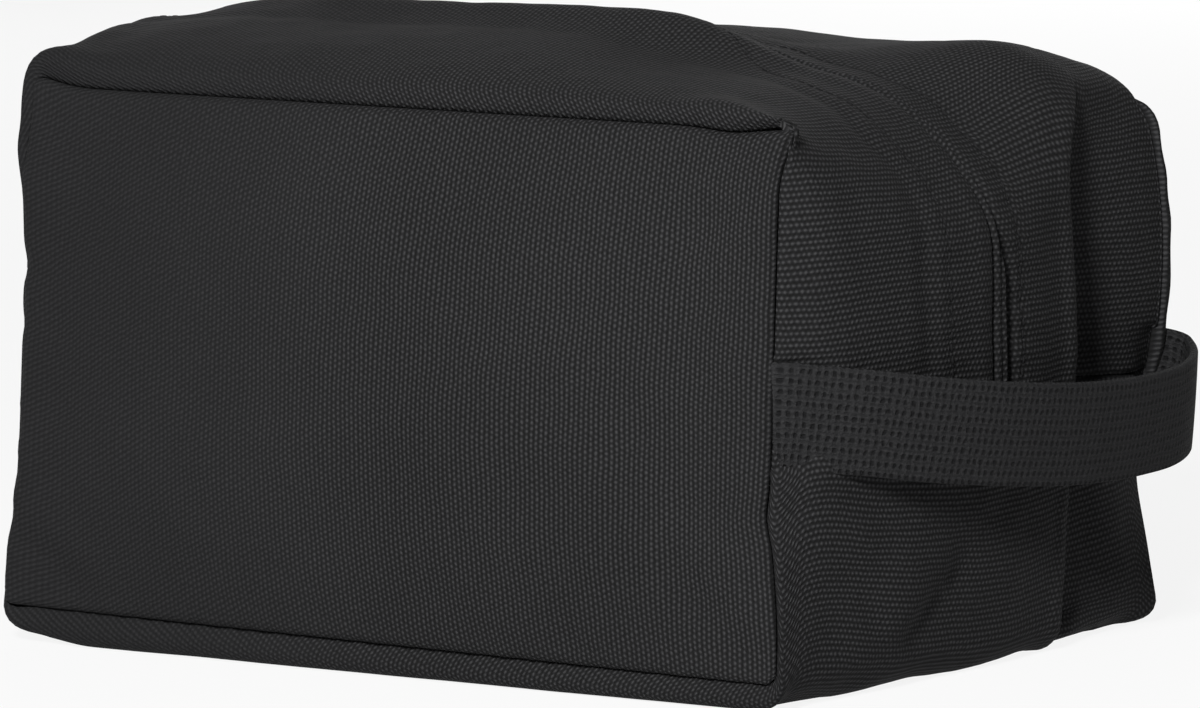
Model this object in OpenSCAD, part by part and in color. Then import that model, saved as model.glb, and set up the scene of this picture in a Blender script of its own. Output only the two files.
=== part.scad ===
// Studio sandbag: a boxy zipped canvas bag with one webbing handle and a sealed, sand-filled liner.
// Origin: on the floor, under the middle of the bag. +X points to the handle end,
// -Y to the front panel and +Z up. Lengths are in millimetres.

/* [Bag] */
// Distance between the end seams of the front panel
bag_width = 236; // [200:1:300]
// Distance from the front seams to the back seams at the base
bag_depth = 155; // [140:1:190]
// Height of the front panel's top seam above the floor
seam_height = 136; // [132:1:160]
// Height of the back panel's top seam above the floor
back_seam_height = 132; // [130:1:150]
// Height of the bottom seams above the floor
seam_lift = 6; // [4:0.5:8]
// Height of the crown of the top above the front seam
crown_rise = 15.5; // [14:0.5:20]
// How far each end swells beyond its seams
end_bulge = 12; // [8:0.5:13]
// How far each large panel swells out of its seams
panel_bulge = 9; // [4:0.5:14]
// How far the top of the front panel leans back
front_lean = 14; // [4:1:18]
// How far the top of the back panel leans forward
back_lean = 2; // [0:1:10]
// How far the back panel spreads above its middle and draws in below it
back_sway = 5; // [0:0.5:7]
// Thickness of the canvas
canvas = 1.2; // [0.8:0.1:1.6]
// Gap that the solids keep from each other
clearance = 0.3; // [0.2:0.05:0.4]

/* [Corners and crease] */
// Corner radius of the gusset where it meets a panel
seam_corner = 4; // [3:0.5:8]
// Radius of the back panel's top corners
back_corner = 16; // [8:1:20]
// Corner radius of the gusset half way between the panels, at the top of the handle end
crown_corner = 42; // [34:1:46]
// The same at the far end
far_corner = 28; // [22:1:36]
// Corner radius of the gusset half way between the panels, at the base
base_corner = 14; // [8:1:20]
// How much the top falls towards its corners at the handle end
corner_fall = 20; // [14:1:22]
// How much the top falls towards its corners at the far end
far_fall = 7; // [4:0.5:12]
// Depth of the soft crease across both ends and the top
crease_depth = 5; // [2:0.5:6]
// Distance of the crease behind the middle of the gusset
crease_offset = 34; // [30:1:38]
// Width of the crease
crease_width = 16; // [10:1:18]
// Height of the cross seams, where the zip strips meet the base gusset
cross_seam_height = 85; // [83:1:88]

/* [Zip] */
// How far the canvas lips sink below the crown along the straight run of the zip
lip_sink = 4.5; // [3.5:0.1:5.5]
// Reach of the zip's straight run towards the handle end
zip_run = 56; // [52:1:60]
// Reach of the zip's straight run towards the far end
zip_far_run = 80; // [76:1:86]
// Half gap between the lips along the straight run
lip_gap_open = 3.3; // [3:0.1:3.8]
// Half gap between the lips round the corners and down the ends
lip_gap_closed = 1; // [0.6:0.1:1.6]
// Distance from the middle of the zip to the row of stitches on each lip
stitch_row = 12; // [11:0.5:14]
// Width of a stitched row
stitch_width = 0.8; // [0.6:0.1:1]
// Thickness of the zip tape
zip_tape = 0.5; // [0.4:0.05:0.6]
// Width of one row of zip coil
coil_width = 2.2; // [1.8:0.1:2.4]
// Thickness of the zip coil
coil_height = 1.8; // [1.6:0.1:1.9]
// Half gap between the two rows of coil, which the slider's post runs in
coil_gap = 0.9; // [0.8:0.05:1]
// Height of the ends of the zip above the cross seams
zip_end_rise = 11; // [10:0.5:14]

/* [Slider] */
// Length of the slider
slider_length = 11; // [9:0.5:13]
// Thickness of the slider's two plates
slider_plate = 0.9; // [0.8:0.05:1]
// Height of the channel between the plates
slider_channel = 2.6; // [2.4:0.05:2.7]
// Thickness of the slider's side flanges
slider_flange = 0.8; // [0.6:0.1:1]
// Thickness of the post that joins the two plates
slider_post = 1.2; // [1:0.05:1.3]
// Place of the slider along the zip at rest
slider_rest = -64; // [-68:1:-58]
// Length of the pull, from its pin
pull_length = 20; // [16:1:24]
// Width of the pull
pull_width = 5; // [4:0.1:5.2]
// Thickness of the pull
pull_thickness = 0.7; // [0.6:0.05:0.75]
// Radius of the pull's pin
pin_radius = 0.4; // [0.3:0.05:0.45]
// Free space round the pin under the slider's bridge
pin_play = 0.15; // [0.1:0.01:0.2]

/* [Handle] */
// Width of the webbing
strap_width = 25.4; // [20:0.1:26]
// Thickness of the webbing
strap_thickness = 2; // [1.5:0.1:2.4]
// Height of the line on which the sewn ends are centred
handle_height = 69; // [66:0.5:70]
// How far the loop stands out of the seams
handle_reach = 31; // [29:0.5:36]
// Angle by which the loop droops at rest
handle_droop = 12; // [8:1:16]
// How much lower the rear end is sewn than the front end
handle_drop = 8; // [4:0.5:12]
// Length of the front end that lies on the gusset
front_end_length = 12; // [10:0.5:14]
// Length of the rear end that lies on the gusset
rear_end_length = 8; // [6:0.5:10]
// How far the loop's line still stands out at the rear seam
rear_stand = 4; // [3:0.5:5]
// Half width at the narrowed ends of the swinging loop
loop_nose = 7; // [5:0.5:8]

/* [Inside] */
// Width of the bound seam allowances
seam_allowance = 9; // [7:0.5:11]
// Thickness of the bound seam allowances
binding_thickness = 3; // [2:0.1:4]
// Thickness of the liner's film
liner_film = 0.6; // [0.4:0.05:0.8]
// Width of the liner's welded rim
liner_rim = 4; // [3:0.5:4.5]
// Space between the liner and the canvas at the ends, the front and the back
liner_space = 7; // [6:0.5:10]
// Room between the slider's lower plate and the liner
liner_headroom = 4; // [3:0.5:8]
// Corner radius of the liner
liner_corner = 22; // [18:1:26]

/* [Hidden] */

half_width = bag_width / 2;
half_depth = bag_depth / 2;
lip_height = seam_height + crown_rise - lip_sink;
zip_end_height = cross_seam_height + zip_end_rise;
canvas_black = "#2b2b2c";
webbing_black = "#242425";
binding_black = "#1d1d1e";
zip_black = "#18181a";
metal_black = "#1a1a1c";

// Share of the depth, from -1 at the front seams to 1 at the back seams, for a place y
function share(y) = y / half_depth;
crease_middle = share(crease_offset);
crease_half = share(crease_width / 2);
flat_lip = share(5.6);
row_inner = share(stitch_row - stitch_width / 2);
row_outer = share(stitch_row + stitch_width / 2);

// How round the gusset is between its two seams: 0 at the seams, 1 in the middle
function roundness(v) = sqrt(max(0, 1 - v * v));
function crease(v) = max(0, 1 - abs(v - crease_middle) / crease_half);
function swell(v, far) = end_bulge * pow(max(0, 1 - v * v), far ? 0.6 : 1.4)
    - crease_depth * crease(v);
function swell_share(z) = 0.3 + 0.7 * sin(90 * min(1, max(0, z) / 75));
function seam_top(v) = seam_height - max(0, v) * (seam_height - back_seam_height);
function top_height(v) = seam_top(v) + crown_rise * roundness(v) - crease_depth / 2 * crease(v);
function top_corner(v, far) =
    let (seam = v < 0 ? seam_corner : seam_corner + (back_corner - seam_corner) * v * v)
    seam + ((far ? far_corner : crown_corner) - seam) * roundness(v);
function low_corner(v) = seam_corner + (base_corner - seam_corner) * roundness(v);
function floor_height(v) = seam_lift * pow(max(0, abs(v) - 0.82) / 0.18, 2);
function lean(v, z) = (v < 0 ? front_lean : -back_lean) * v * v * z / seam_height;
// Sideways spread of the back panel and of the gusset near it, at a height z
function sway(v, z) = v < 0 ? 0 :
    back_sway * v * v * (exp(-pow((z - 95) / 32, 2)) - 0.7 * exp(-pow((z - 30) / 22, 2)));

// Turns a place on the rounded section into a point of the gusset
function warped(x, z, v) = [
    x * (1 + (swell(v, x < 0) * swell_share(z) + sway(v, z)) / half_width),
    v * half_depth + lean(v, z),
    z];

// A place on the right half of the section above the cross seams, for u from 0 at the cross
// seam to 2.5 in the middle of the top, `inset` inside the outer face of the canvas
function upper_plane(u, v, inset, far) =
    let (a = half_width - inset, t = top_height(v) - inset,
        r = max(0.5, top_corner(v, far) - inset))
    u <= 1 ? [a, cross_seam_height + (t - r - cross_seam_height) * u] :
    u <= 2 ? [a - r + r * cos(90 * (u - 1)), t - r + r * sin(90 * (u - 1))] :
    [(a - r) * (5 - 2 * u), t];
// The whole of it, for u from 0 at the right cross seam to 5 at the left one
function upper(u, v, inset) =
    let (
        m = u > 2.5,
        p = upper_plane(m ? 5 - u : u, v, inset, m),
        x = m ? -p[0] : p[0],
        rise = max(0, p[1] - cross_seam_height) / (top_height(v) - cross_seam_height),
        fallen = p[1] - (m ? far_fall : corner_fall) * (1 - v * v) * pow(x / half_width, 2) * rise,
        z = abs(v) <= flat_lip ? min(fallen, lip_height - inset) : fallen
    )
    warped(x, z, v);

// The same below the cross seams, for u from 0 at the left cross seam to 5 at the right one
function lower(u, v, inset) =
    let (
        m = u > 2.5,
        w = m ? 5 - u : u,
        a = half_width - inset,
        b = floor_height(v) + inset,
        r = max(0.5, low_corner(v) - inset),
        p = w <= 1 ? [-a, cross_seam_height + (b + r - cross_seam_height) * w] :
            w <= 2 ? [-a + r - r * cos(90 * (w - 1)), b + r - r * sin(90 * (w - 1))] :
            [-(a - r) * (5 - 2 * w), b]
    )
    warped(m ? -p[0] : p[0], p[1], v);

// Stations along each part of the section
function steps(from, to, count) = [for (i = [0 : count - 1]) from + (to - from) * i / count];
upper_stations = concat(steps(0, 1, 2), steps(1, 2, 6), steps(2, 3, 12), steps(3, 4, 6),
    steps(4, 5, 2), [5]);
lower_stations = concat(steps(0, 1, 5), steps(1, 2, 3), steps(2, 3, 2), steps(3, 4, 3),
    steps(4, 5, 5), [5]);

// Half gap between the lips at a station
function lip_gap(u) =
    let (
        x = upper(u, 0, 0)[0],
        past = x > 0 ? x - zip_run : -x - zip_far_run,
        t = u < 2 || u > 3 ? 1 : min(1, max(0, past / 14))
    )
    lip_gap_open + (lip_gap_closed - lip_gap_open) * t * t * (3 - 2 * t);

// A closed slab between two grids of points with the same counts. The first grid is the
// outer face, and its rows and columns turn so that the face points outwards.
module slab(outer, inner) {
    rows = len(outer);
    cols = len(outer[0]);
    count = rows * cols;
    flat_outer = [for (row = outer) for (p = row) p];
    flat_inner = [for (row = inner) for (p = row) p];
    function at(i, j) = i * cols + j;
    faces = concat(
        [for (i = [0 : rows - 2]) for (j = [0 : cols - 2]) for (k = [0, 1])
            k == 0 ? [at(i, j), at(i + 1, j), at(i + 1, j + 1)]
                : [at(i, j), at(i + 1, j + 1), at(i, j + 1)]],
        [for (i = [0 : rows - 2]) for (j = [0 : cols - 2]) for (k = [0, 1])
            k == 0 ? [count + at(i, j), count + at(i + 1, j + 1), count + at(i + 1, j)]
                : [count + at(i, j), count + at(i, j + 1), count + at(i + 1, j + 1)]],
        [for (i = [0 : rows - 2]) for (side = [0, cols - 1]) for (k = [0, 1])
            let (a = at(i, side), b = at(i + 1, side), turn = side == 0,
                f = k == 0 ? [a, count + a, count + b] : [a, count + b, b])
            turn ? f : [f[2], f[1], f[0]]],
        [for (j = [0 : cols - 2]) for (side = [0, rows - 1]) for (k = [0, 1])
            let (a = at(side, j), b = at(side, j + 1), turn = side == 0,
                f = k == 0 ? [a, b, count + b] : [a, count + b, count + a])
            turn ? f : [f[2], f[1], f[0]]]
    );
    polyhedron(points = concat(flat_outer, flat_inner), faces = faces);
}

// A closed ring of points round a rounded rectangle in X and Z
ring_steps = 5;
function ring(a, z0, z1, low_r, top_r) = [
    for (c = [[1, 1, 0], [-1, 1, 90], [-1, -1, 180], [1, -1, 270]])
    for (i = [0 : ring_steps])
    let (t = c[2] + 90 * i / ring_steps, r = c[1] > 0 ? top_r : low_r)
    [c[0] * (a - r) + r * cos(t), (c[1] > 0 ? z1 - r : z0 + r) + r * sin(t)]];
ring_count = 4 * (ring_steps + 1);

// A solid through a list of closed rings of 3-D points, with flat or pointed ends
module lofted(rings) {
    n = len(rings[0]);
    last = len(rings) - 1;
    faces = concat(
        [[for (i = [0 : n - 1]) n - 1 - i]],
        [for (k = [0 : last - 1]) for (i = [0 : n - 1]) for (h = [0, 1])
            let (a = k * n + i, b = k * n + (i + 1) % n)
            h == 0 ? [a, b + n, a + n] : [a, b, b + n]],
        [[for (i = [0 : n - 1]) last * n + i]]
    );
    polyhedron(points = [for (r = rings) for (p = r) p], faces = faces);
}

// Front and back panels: a rounded rectangle that swells out of its seams
module panel(side) {
    top = seam_top(side);
    seam = ring(half_width, seam_lift, top, seam_corner, side < 0 ? seam_corner : back_corner);
    middle = (seam_lift + top) / 2;
    shares = [1, 0.9, 0.7, 0.4];
    half_height = (top - seam_lift) / 2;
    function dome(x, h) = (1 - pow(abs(x) / half_width, 2.6)) * (1 - pow(abs(h) / half_height, 2.6));
    function placed(p, k, out) =
        let (x = p[0] * k, h = (p[1] - middle) * k, z = middle + h)
        [x * (1 + sway(side, z) / half_width),
            side * (half_depth + clearance + out + panel_bulge * dome(x, h)) + lean(side, z), z];
    rings = concat(
        [for (k = shares) [for (p = seam) placed(p, k, canvas)]],
        [for (k = [3 : -1 : 0]) [for (p = seam) placed(p, shares[k], 0)]]);
    n = ring_count;
    hub_outer = len(rings) * n;
    function turned(f) = side > 0 ? [f[2], f[1], f[0]] : f;
    faces = concat(
        [for (k = [0 : 2]) for (i = [0 : n - 1]) for (h = [0, 1])
            let (a = k * n + i, b = k * n + (i + 1) % n)
            turned(h == 0 ? [a, a + n, b + n] : [a, b + n, b])],
        [for (i = [0 : n - 1]) turned([3 * n + i, hub_outer, 3 * n + (i + 1) % n])],
        [for (i = [0 : n - 1]) turned([4 * n + i, 4 * n + (i + 1) % n, hub_outer + 1])],
        [for (k = [4 : 6]) for (i = [0 : n - 1]) for (h = [0, 1])
            let (a = k * n + i, b = k * n + (i + 1) % n)
            turned(h == 0 ? [a, a + n, b + n] : [a, b + n, b])],
        [for (i = [0 : n - 1]) for (h = [0, 1])
            let (a = 7 * n + i, b = 7 * n + (i + 1) % n, c = i, d = (i + 1) % n)
            turned(h == 0 ? [a, c, d] : [a, d, b])]
    );
    polyhedron(
        points = concat([for (r = rings) for (p = r) p],
            [placed([0, middle], 0, canvas), placed([0, middle], 0, 0)]),
        faces = faces);
}
module front_panel() { color(canvas_black) panel(-1); }
module back_panel() { color(canvas_black) panel(1); }

// Upper gusset: two strips that meet at the zip
strip_shares = [1, 0.95, 0.85, 0.66, 0.43];
rear_shares = [1, 0.93, 0.8, crease_middle + crease_half, crease_middle,
    crease_middle - crease_half];
function strip_rows(side) = concat(side < 0 ? strip_shares : rear_shares,
    [row_outer, row_inner, flat_lip]);
function strip_grid(side, inset) = [for (u = upper_stations) concat(
    [for (v = strip_rows(side)) upper(u, side * v, inset)],
    [upper(u, side * share(lip_gap(u)), inset)])];
module zip_strip(side) {
    if (side < 0) slab(strip_grid(side, 0), strip_grid(side, canvas));
    else slab(strip_grid(side, canvas), strip_grid(side, 0));
}
module zip_strip_front() { color(canvas_black) zip_strip(-1); }
module zip_strip_rear() { color(canvas_black) zip_strip(1); }

// Lower gusset: both ends below the cross seams, and the base
base_rows = [-1, -0.95, -0.85, -0.75, -0.5, -0.15, 0.15, crease_middle - crease_half,
    crease_middle, crease_middle + crease_half, 0.75, 0.85, 0.95, 1];
function base_grid(inset) = [for (u = lower_stations) [for (v = base_rows)
    let (p = lower(u, v, inset)) [p[0], p[1], min(p[2], cross_seam_height - clearance)]]];
module base_gusset() { color(canvas_black) slab(base_grid(0), base_grid(canvas)); }

// Bound seam allowances, which lie flat behind each panel
binding_corner = 18;
module seam_binding(side) {
    gap = canvas + clearance + 0.4;
    outer = ring(half_width - gap, seam_lift + gap, seam_top(side) - gap,
        binding_corner, binding_corner + 4);
    inner = ring(half_width - gap - seam_allowance, seam_lift + gap + seam_allowance,
        seam_top(side) - gap - seam_allowance,
        binding_corner - seam_allowance, binding_corner + 4 - seam_allowance);
    function laid(p, depth) = [p[0] * (1 + sway(side, p[1]) / half_width),
        side * (half_depth - depth) + lean(side, p[1]), p[1]];
    rings = [for (i = [0 : ring_count - 1])
        [laid(outer[i], 0.2), laid(outer[i], binding_thickness),
            laid(inner[i], binding_thickness), laid(inner[i], 0.2)]];
    faces = [for (i = [0 : ring_count - 1]) for (j = [0 : 3]) for (h = [0, 1])
        let (a = 4 * i + j, b = 4 * i + (j + 1) % 4, c = 4 * ((i + 1) % ring_count) + j,
            d = 4 * ((i + 1) % ring_count) + (j + 1) % 4,
            f = h == 0 ? [a, b, d] : [a, d, c])
        side < 0 ? [f[2], f[1], f[0]] : f];
    polyhedron(points = [for (r = rings) for (p = r) p], faces = faces);
}
module front_seam_binding() { color(binding_black) seam_binding(-1); }
module back_seam_binding() { color(binding_black) seam_binding(1); }

// Tapes inside the cross seams at both ends
tape_rows = [-0.85, -0.75, -0.5, -0.15, 0.15, crease_middle - crease_half, crease_middle,
    crease_middle + crease_half, 0.75, 0.85];
cross_tape_height = 8;
module cross_seam_tape(end) {
    function wall(z, inset) = [for (v = tape_rows)
        let (p = warped(end * (half_width - inset), z, v)) p];
    low = cross_seam_height - cross_tape_height / 2;
    high = cross_seam_height + cross_tape_height / 2;
    near = canvas + clearance;
    far = near + 1.2;
    if (end > 0) slab([wall(low, near), wall(high, near)], [wall(low, far), wall(high, far)]);
    else slab([wall(low, far), wall(high, far)], [wall(low, near), wall(high, near)]);
}
module cross_seam_tape_left() { color(binding_black) cross_seam_tape(-1); }
module cross_seam_tape_right() { color(binding_black) cross_seam_tape(1); }

// Zip: the tapes hang under the lips and hold the two rows of coil
slider_top = lip_height - canvas - clearance;
channel_top = slider_top - slider_plate;
coil_middle = channel_top - slider_channel / 2;
coil_inset = lip_height - coil_middle;
zip_top_share = (zip_end_height - cross_seam_height)
    / (top_height(0) - top_corner(0, false) - cross_seam_height);
zip_far_share = (zip_end_height - cross_seam_height)
    / (top_height(0) - top_corner(0, true) - cross_seam_height);
zip_stations = concat([zip_top_share], steps(1, 2, 6), steps(2, 3, 12), steps(3, 4, 6),
    [4, 5 - zip_far_share]);
function zip_row(y, inset) = [for (u = zip_stations) upper(u, share(y), inset)];
function across(rows) = [for (i = [0 : len(rows[0]) - 1]) [for (row = rows) row[i]]];
tape_top = coil_inset - zip_tape / 2;
tape_bottom = coil_inset + zip_tape / 2;
tape_start = coil_gap + coil_width + 0.1;
under_canvas = canvas + clearance;
module zip_tape(side) {
    top = across([zip_row(side * stitch_row, under_canvas), zip_row(side * 5.4, tape_top),
        zip_row(side * tape_start, tape_top)]);
    low = across([zip_row(side * stitch_row, under_canvas + zip_tape),
        zip_row(side * 5.4, tape_bottom), zip_row(side * tape_start, tape_bottom)]);
    if (side < 0) slab(top, low);
    else slab(low, top);
}
module zip_tape_front() { color(zip_black) zip_tape(-1); }
module zip_tape_rear() { color(zip_black) zip_tape(1); }

module zip_coil(side) {
    edge = coil_gap + coil_width;
    top = across([zip_row(side * edge, coil_inset - coil_height / 2),
        zip_row(side * coil_gap, coil_inset - coil_height / 2)]);
    low = across([zip_row(side * edge, coil_inset + coil_height / 2),
        zip_row(side * coil_gap, coil_inset + coil_height / 2)]);
    if (side < 0) slab(top, low);
    else slab(low, top);
}
module zip_coil_front() { color(zip_black) zip_coil(-1); }
module zip_coil_rear() { color(zip_black) zip_coil(1); }

// Metal stops that end the coils
stop_length = 3;
module zip_stop(end) {
    p = upper(end > 0 ? zip_top_share : 5 - zip_far_share, 0, coil_inset);
    translate([p[0] - coil_height / 2, -coil_gap - coil_width, p[2] - clearance - stop_length])
        cube([coil_height, 2 * (coil_gap + coil_width), stop_length]);
}
module zip_stop_left() { color(metal_black) zip_stop(-1); }
module zip_stop_right() { color(metal_black) zip_stop(1); }

// Rows of stitches that hold the tapes to the lips
module lip_stitching(side) {
    function row(inset) = across([for (v = [row_outer, row_inner])
        [for (u = upper_stations) upper(min(max(u, 0.05), 4.95), side * v, inset)]]);
    if (side < 0) slab(row(-0.6), row(-0.1));
    else slab(row(-0.1), row(-0.6));
}
module lip_stitching_front() { color(canvas_black) lip_stitching(-1); }
module lip_stitching_rear() { color(canvas_black) lip_stitching(1); }

// Slider: two plates with a post between them, flanges round the coils and a bridge on top
slider_half = coil_gap + coil_width + clearance + slider_flange;
bridge_hole = 2 * (pin_radius + pin_play);
bridge_width = 1.6;
bridge_length = 5;
bridge_bar = 0.9;
module slider_outline(inset) {
    hull() {
        translate([-slider_length / 2 + 2.5, 0]) circle(r = 2.5 - inset, $fn = 32);
        translate([slider_length / 2 - 3, 0])
            square([2 * (3 - inset), 2 * (slider_half - inset)], center = true);
        translate([0, 0]) square([2, 2 * (slider_half - inset)], center = true);
    }
}
module slider_plate_at(z) {
    translate([0, 0, z]) linear_extrude(slider_plate) slider_outline(0);
}
module zip_slider() {
    slot = zip_tape + 2 * clearance;
    flange = (slider_channel - slot) / 2;
    color(metal_black) translate([slider_rest, 0, 0]) {
        slider_plate_at(slider_top - slider_plate);
        slider_plate_at(channel_top - slider_channel - slider_plate);
        translate([0, 0, channel_top - slider_channel]) linear_extrude(slider_channel)
            square([slider_length / 2, slider_post], center = true);
        for (z = [channel_top - flange, channel_top - slider_channel])
            for (side = [-1, 1])
                translate([-1, side > 0 ? slider_half - slider_flange : -slider_half, z])
                    cube([slider_length / 2 + 1, slider_flange, flange]);
        translate([0, bridge_width / 2, slider_top]) rotate([90, 0, 0])
            linear_extrude(bridge_width) difference() {
                translate([-bridge_length / 2, 0])
                    square([bridge_length, bridge_hole + bridge_bar]);
                translate([-bridge_length / 2 + bridge_bar, 0])
                    square([bridge_length - 2 * bridge_bar, bridge_hole]);
            }
    }
}

// Pull: a pin under the bridge, two arms and a flat tab with a hole
pin_height = slider_top + bridge_hole / 2;
arm_width = 0.8;
module slider_pull() {
    eye = bridge_length / 2 + 1.4;
    arm_gap = bridge_width / 2 + clearance;
    color(metal_black) translate([slider_rest, 0, pin_height]) {
        rotate([90, 0, 0]) cylinder(r = pin_radius, h = 2 * (arm_gap + arm_width), center = true,
            $fn = 32);
        difference() {
            translate([0, 0, -pull_thickness / 2]) linear_extrude(pull_thickness)
                difference() {
                    union() {
                        translate([0, -arm_gap - arm_width])
                            square([eye + 1, 2 * (arm_gap + arm_width)]);
                        translate([eye, -pull_width / 2])
                            square([pull_length - eye - pull_width / 2, pull_width]);
                        translate([pull_length - pull_width / 2, 0])
                            circle(r = pull_width / 2, $fn = 48);
                    }
                    translate([-1, -arm_gap]) square([eye + 1, 2 * arm_gap]);
                }
            translate([pull_length - pull_width / 2, 0, -1]) cylinder(r = 1.1, h = 2, $fn = 32);
        }
    }
}

// Handle: a webbing loop that swings, between two ends that are sewn into the seams
hinge_x = half_width + 1.5;
end_seat = 0.6;
seam_front = -half_depth + lean(-1, handle_height);
seam_rear = half_depth + lean(1, handle_height);
rear_height = handle_height - handle_drop;
loop_front = seam_front + front_end_length;
loop_rear = seam_rear - rear_end_length;
end_gap = 0.4;

// The webbing's middle line: how far it stands out of the line between its sewn ends, and
// its place along the depth, for t from 0 at the front seam to 1 at the rear one
function curve(t, a, b, c, d) =
    pow(1 - t, 3) * a + 3 * t * pow(1 - t, 2) * b + 3 * t * t * (1 - t) * c + pow(t, 3) * d;
function loop_out(t) = curve(t, 0, handle_reach * 4 / 3, handle_reach * 4 / 3, rear_stand);
function loop_y(t) = curve(t, seam_front, seam_front * 0.34, seam_rear * 0.6, seam_rear);
// The t at which the middle line passes a place y
function loop_t(y, low = 0, high = 1, turns = 16) =
    let (t = (low + high) / 2)
    turns == 0 ? t : loop_y(t) < y ? loop_t(y, t, high, turns - 1) : loop_t(y, low, t, turns - 1);
function loop_half(y) = min(strap_width / 2,
    loop_nose + (strap_width / 2 - loop_nose) * min(y - loop_front, loop_rear - y) / 9);
line_slope = handle_drop / (seam_rear - seam_front);
function line_height(y) = handle_height - line_slope * (y - seam_front);
// A point on the webbing: `side` is -1 on its inner face and 1 on its outer face, and `w` is
// the distance above its middle; a `cut` section is square to the hinge line
function loop_point(t, side, w, cut) =
    let (
        step = 0.01,
        d_out = loop_out(t + step) - loop_out(t - step),
        d_y = loop_y(t + step) - loop_y(t - step),
        n = sqrt(d_out * d_out + d_y * d_y),
        half = side * strap_thickness / 2,
        o = loop_out(t) + half * (cut ? n / d_y : d_y / n),
        y = loop_y(t) - (cut ? 0 : half * d_out / n),
        z = w * cos(handle_droop) - o * sin(handle_droop)
    )
    [hinge_x + o * cos(handle_droop) + w * sin(handle_droop), y + z * line_slope,
        line_height(y) + z];
module handle_loop() {
    count = 22;
    first = loop_t(loop_front);
    last = loop_t(loop_rear);
    places = [for (i = [0 : count]) first + (last - first) * i / count];
    function face(side) = [for (t = places) [for (edge = [-1, 1])
        loop_point(t, side, edge * loop_half(loop_y(t)), t == first || t == last)]];
    color(webbing_black) slab(face(-1), face(1));
}
// A sewn end: it lies on the gusset at the seam and then leaves it to meet the loop
module handle_end(side, last_y, height) {
    seats = [side * (1 - share(1)), side * (1 - share(2.5))];
    function seat(out) = [for (v = seats) [for (edge = [-1, 1])
        let (h = height + edge * strap_width / 2, p = warped(half_width, h, v))
        [p[0] + out, p[1], h]]];
    function last(face) = [[for (edge = [-1, 1])
        loop_point(loop_t(last_y), face, edge * strap_width / 2, true)]];
    inner = concat(seat(end_seat), last(-1));
    outer = concat(seat(end_seat + strap_thickness), last(1));
    if (side < 0) slab(inner, outer);
    else slab(outer, inner);
}
module handle_end_front() {
    color(webbing_black) handle_end(-1, loop_front - end_gap, handle_height);
}
module handle_end_rear() { color(webbing_black) handle_end(1, loop_rear + end_gap, rear_height); }

// Liner: two moulded sheets of film, welded to each other along their rims
liner_top = coil_middle - coil_height / 2 - slider_plate - liner_headroom - liner_rim;
liner_low = canvas + clearance + 0.6;
liner_reach = half_depth - binding_thickness - liner_space;
// Ring of the liner at a share of its reach, set in by `inset` all round and by `shift` in depth
function liner_ring(k, inset, shift, wide) =
    let (
        v = abs(k),
        tuck = 24 * (1 - sqrt(max(0, 1 - pow(v, 5)))),
        rim_low = wide > 0 ? 0.5 : 0,
        top = liner_top - max(0, k) * (seam_height - back_seam_height),
        loop = ring(half_width - liner_space - tuck - inset + wide,
            liner_low + tuck * 0.5 + inset - rim_low, top - tuck * 0.6 - inset + wide,
            max(2, liner_corner - inset), max(2, liner_corner - inset))
    )
    [for (p = loop) [p[0], k * liner_reach - shift + lean(k, p[1]), p[1]]];
liner_places = [0.35, 0.6, 0.8, 0.92, 0.985];
module liner_half(side) {
    seat = -side * 0.05;
    weld = -side * (0.05 + liner_film);
    film = side * liner_film;
    outer = concat(
        [liner_ring(0, 0, seat, liner_rim), liner_ring(0, 0, weld, liner_rim),
            liner_ring(0, 0, weld, 0)],
        [for (k = liner_places) liner_ring(side * k, 0, 0, 0)]);
    inner = concat(
        [for (k = [4 : -1 : 0]) liner_ring(side * liner_places[k], liner_film, film, 0)],
        [liner_ring(0, liner_film, seat, 0)]);
    rings = concat(outer, inner);
    n = ring_count;
    last = len(outer);
    faces = concat(
        [for (k = [0 : len(outer) - 2]) for (i = [0 : n - 1]) for (h = [0, 1])
            let (a = k * n + i, b = k * n + (i + 1) % n)
            h == 0 ? [a, a + n, b + n] : [a, b + n, b]],
        [[for (i = [0 : n - 1]) (last - 1) * n + n - 1 - i]],
        [[for (i = [0 : n - 1]) last * n + i]],
        [for (k = [last : len(rings) - 2]) for (i = [0 : n - 1]) for (h = [0, 1])
            let (a = k * n + i, b = k * n + (i + 1) % n)
            h == 0 ? [a, a + n, b + n] : [a, b + n, b]],
        [for (i = [0 : n - 1]) for (h = [0, 1])
            let (a = (len(rings) - 1) * n + i, b = (len(rings) - 1) * n + (i + 1) % n,
                c = i, d = (i + 1) % n)
            h == 0 ? [a, c, d] : [a, d, b]]
    );
    polyhedron(points = [for (r = rings) for (p = r) p],
        faces = side < 0 ? faces : [for (f = faces) [for (i = [len(f) - 1 : -1 : 0]) f[i]]]);
}
module liner_front() { color("#2c2e31") liner_half(-1); }
module liner_rear() { color("#2c2e31") liner_half(1); }

// Sand that fills the liner
module sand_fill() {
    gap = liner_film + clearance;
    places = concat([for (k = [4 : -1 : 0]) -liner_places[k]], [0], liner_places);
    color("#b79a6c") lofted([for (k = places) liner_ring(k, gap, sign(k) * gap, 0)]);
}

front_panel();
back_panel();
zip_strip_front();
zip_strip_rear();
base_gusset();
front_seam_binding();
back_seam_binding();
cross_seam_tape_left();
cross_seam_tape_right();
zip_tape_front();
zip_tape_rear();
zip_coil_front();
zip_coil_rear();
zip_stop_left();
zip_stop_right();
lip_stitching_front();
lip_stitching_rear();
zip_slider();
slider_pull();
handle_loop();
handle_end_front();
handle_end_rear();
liner_front();
liner_rear();
sand_fill();
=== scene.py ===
"""Dresses the packed sandbag: black canvas panels and gusset, webbing handle, zip, liner and sand."""
import math
import random

import bmesh
import bpy
import numpy as np
from mathutils import Matrix, Vector


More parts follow.
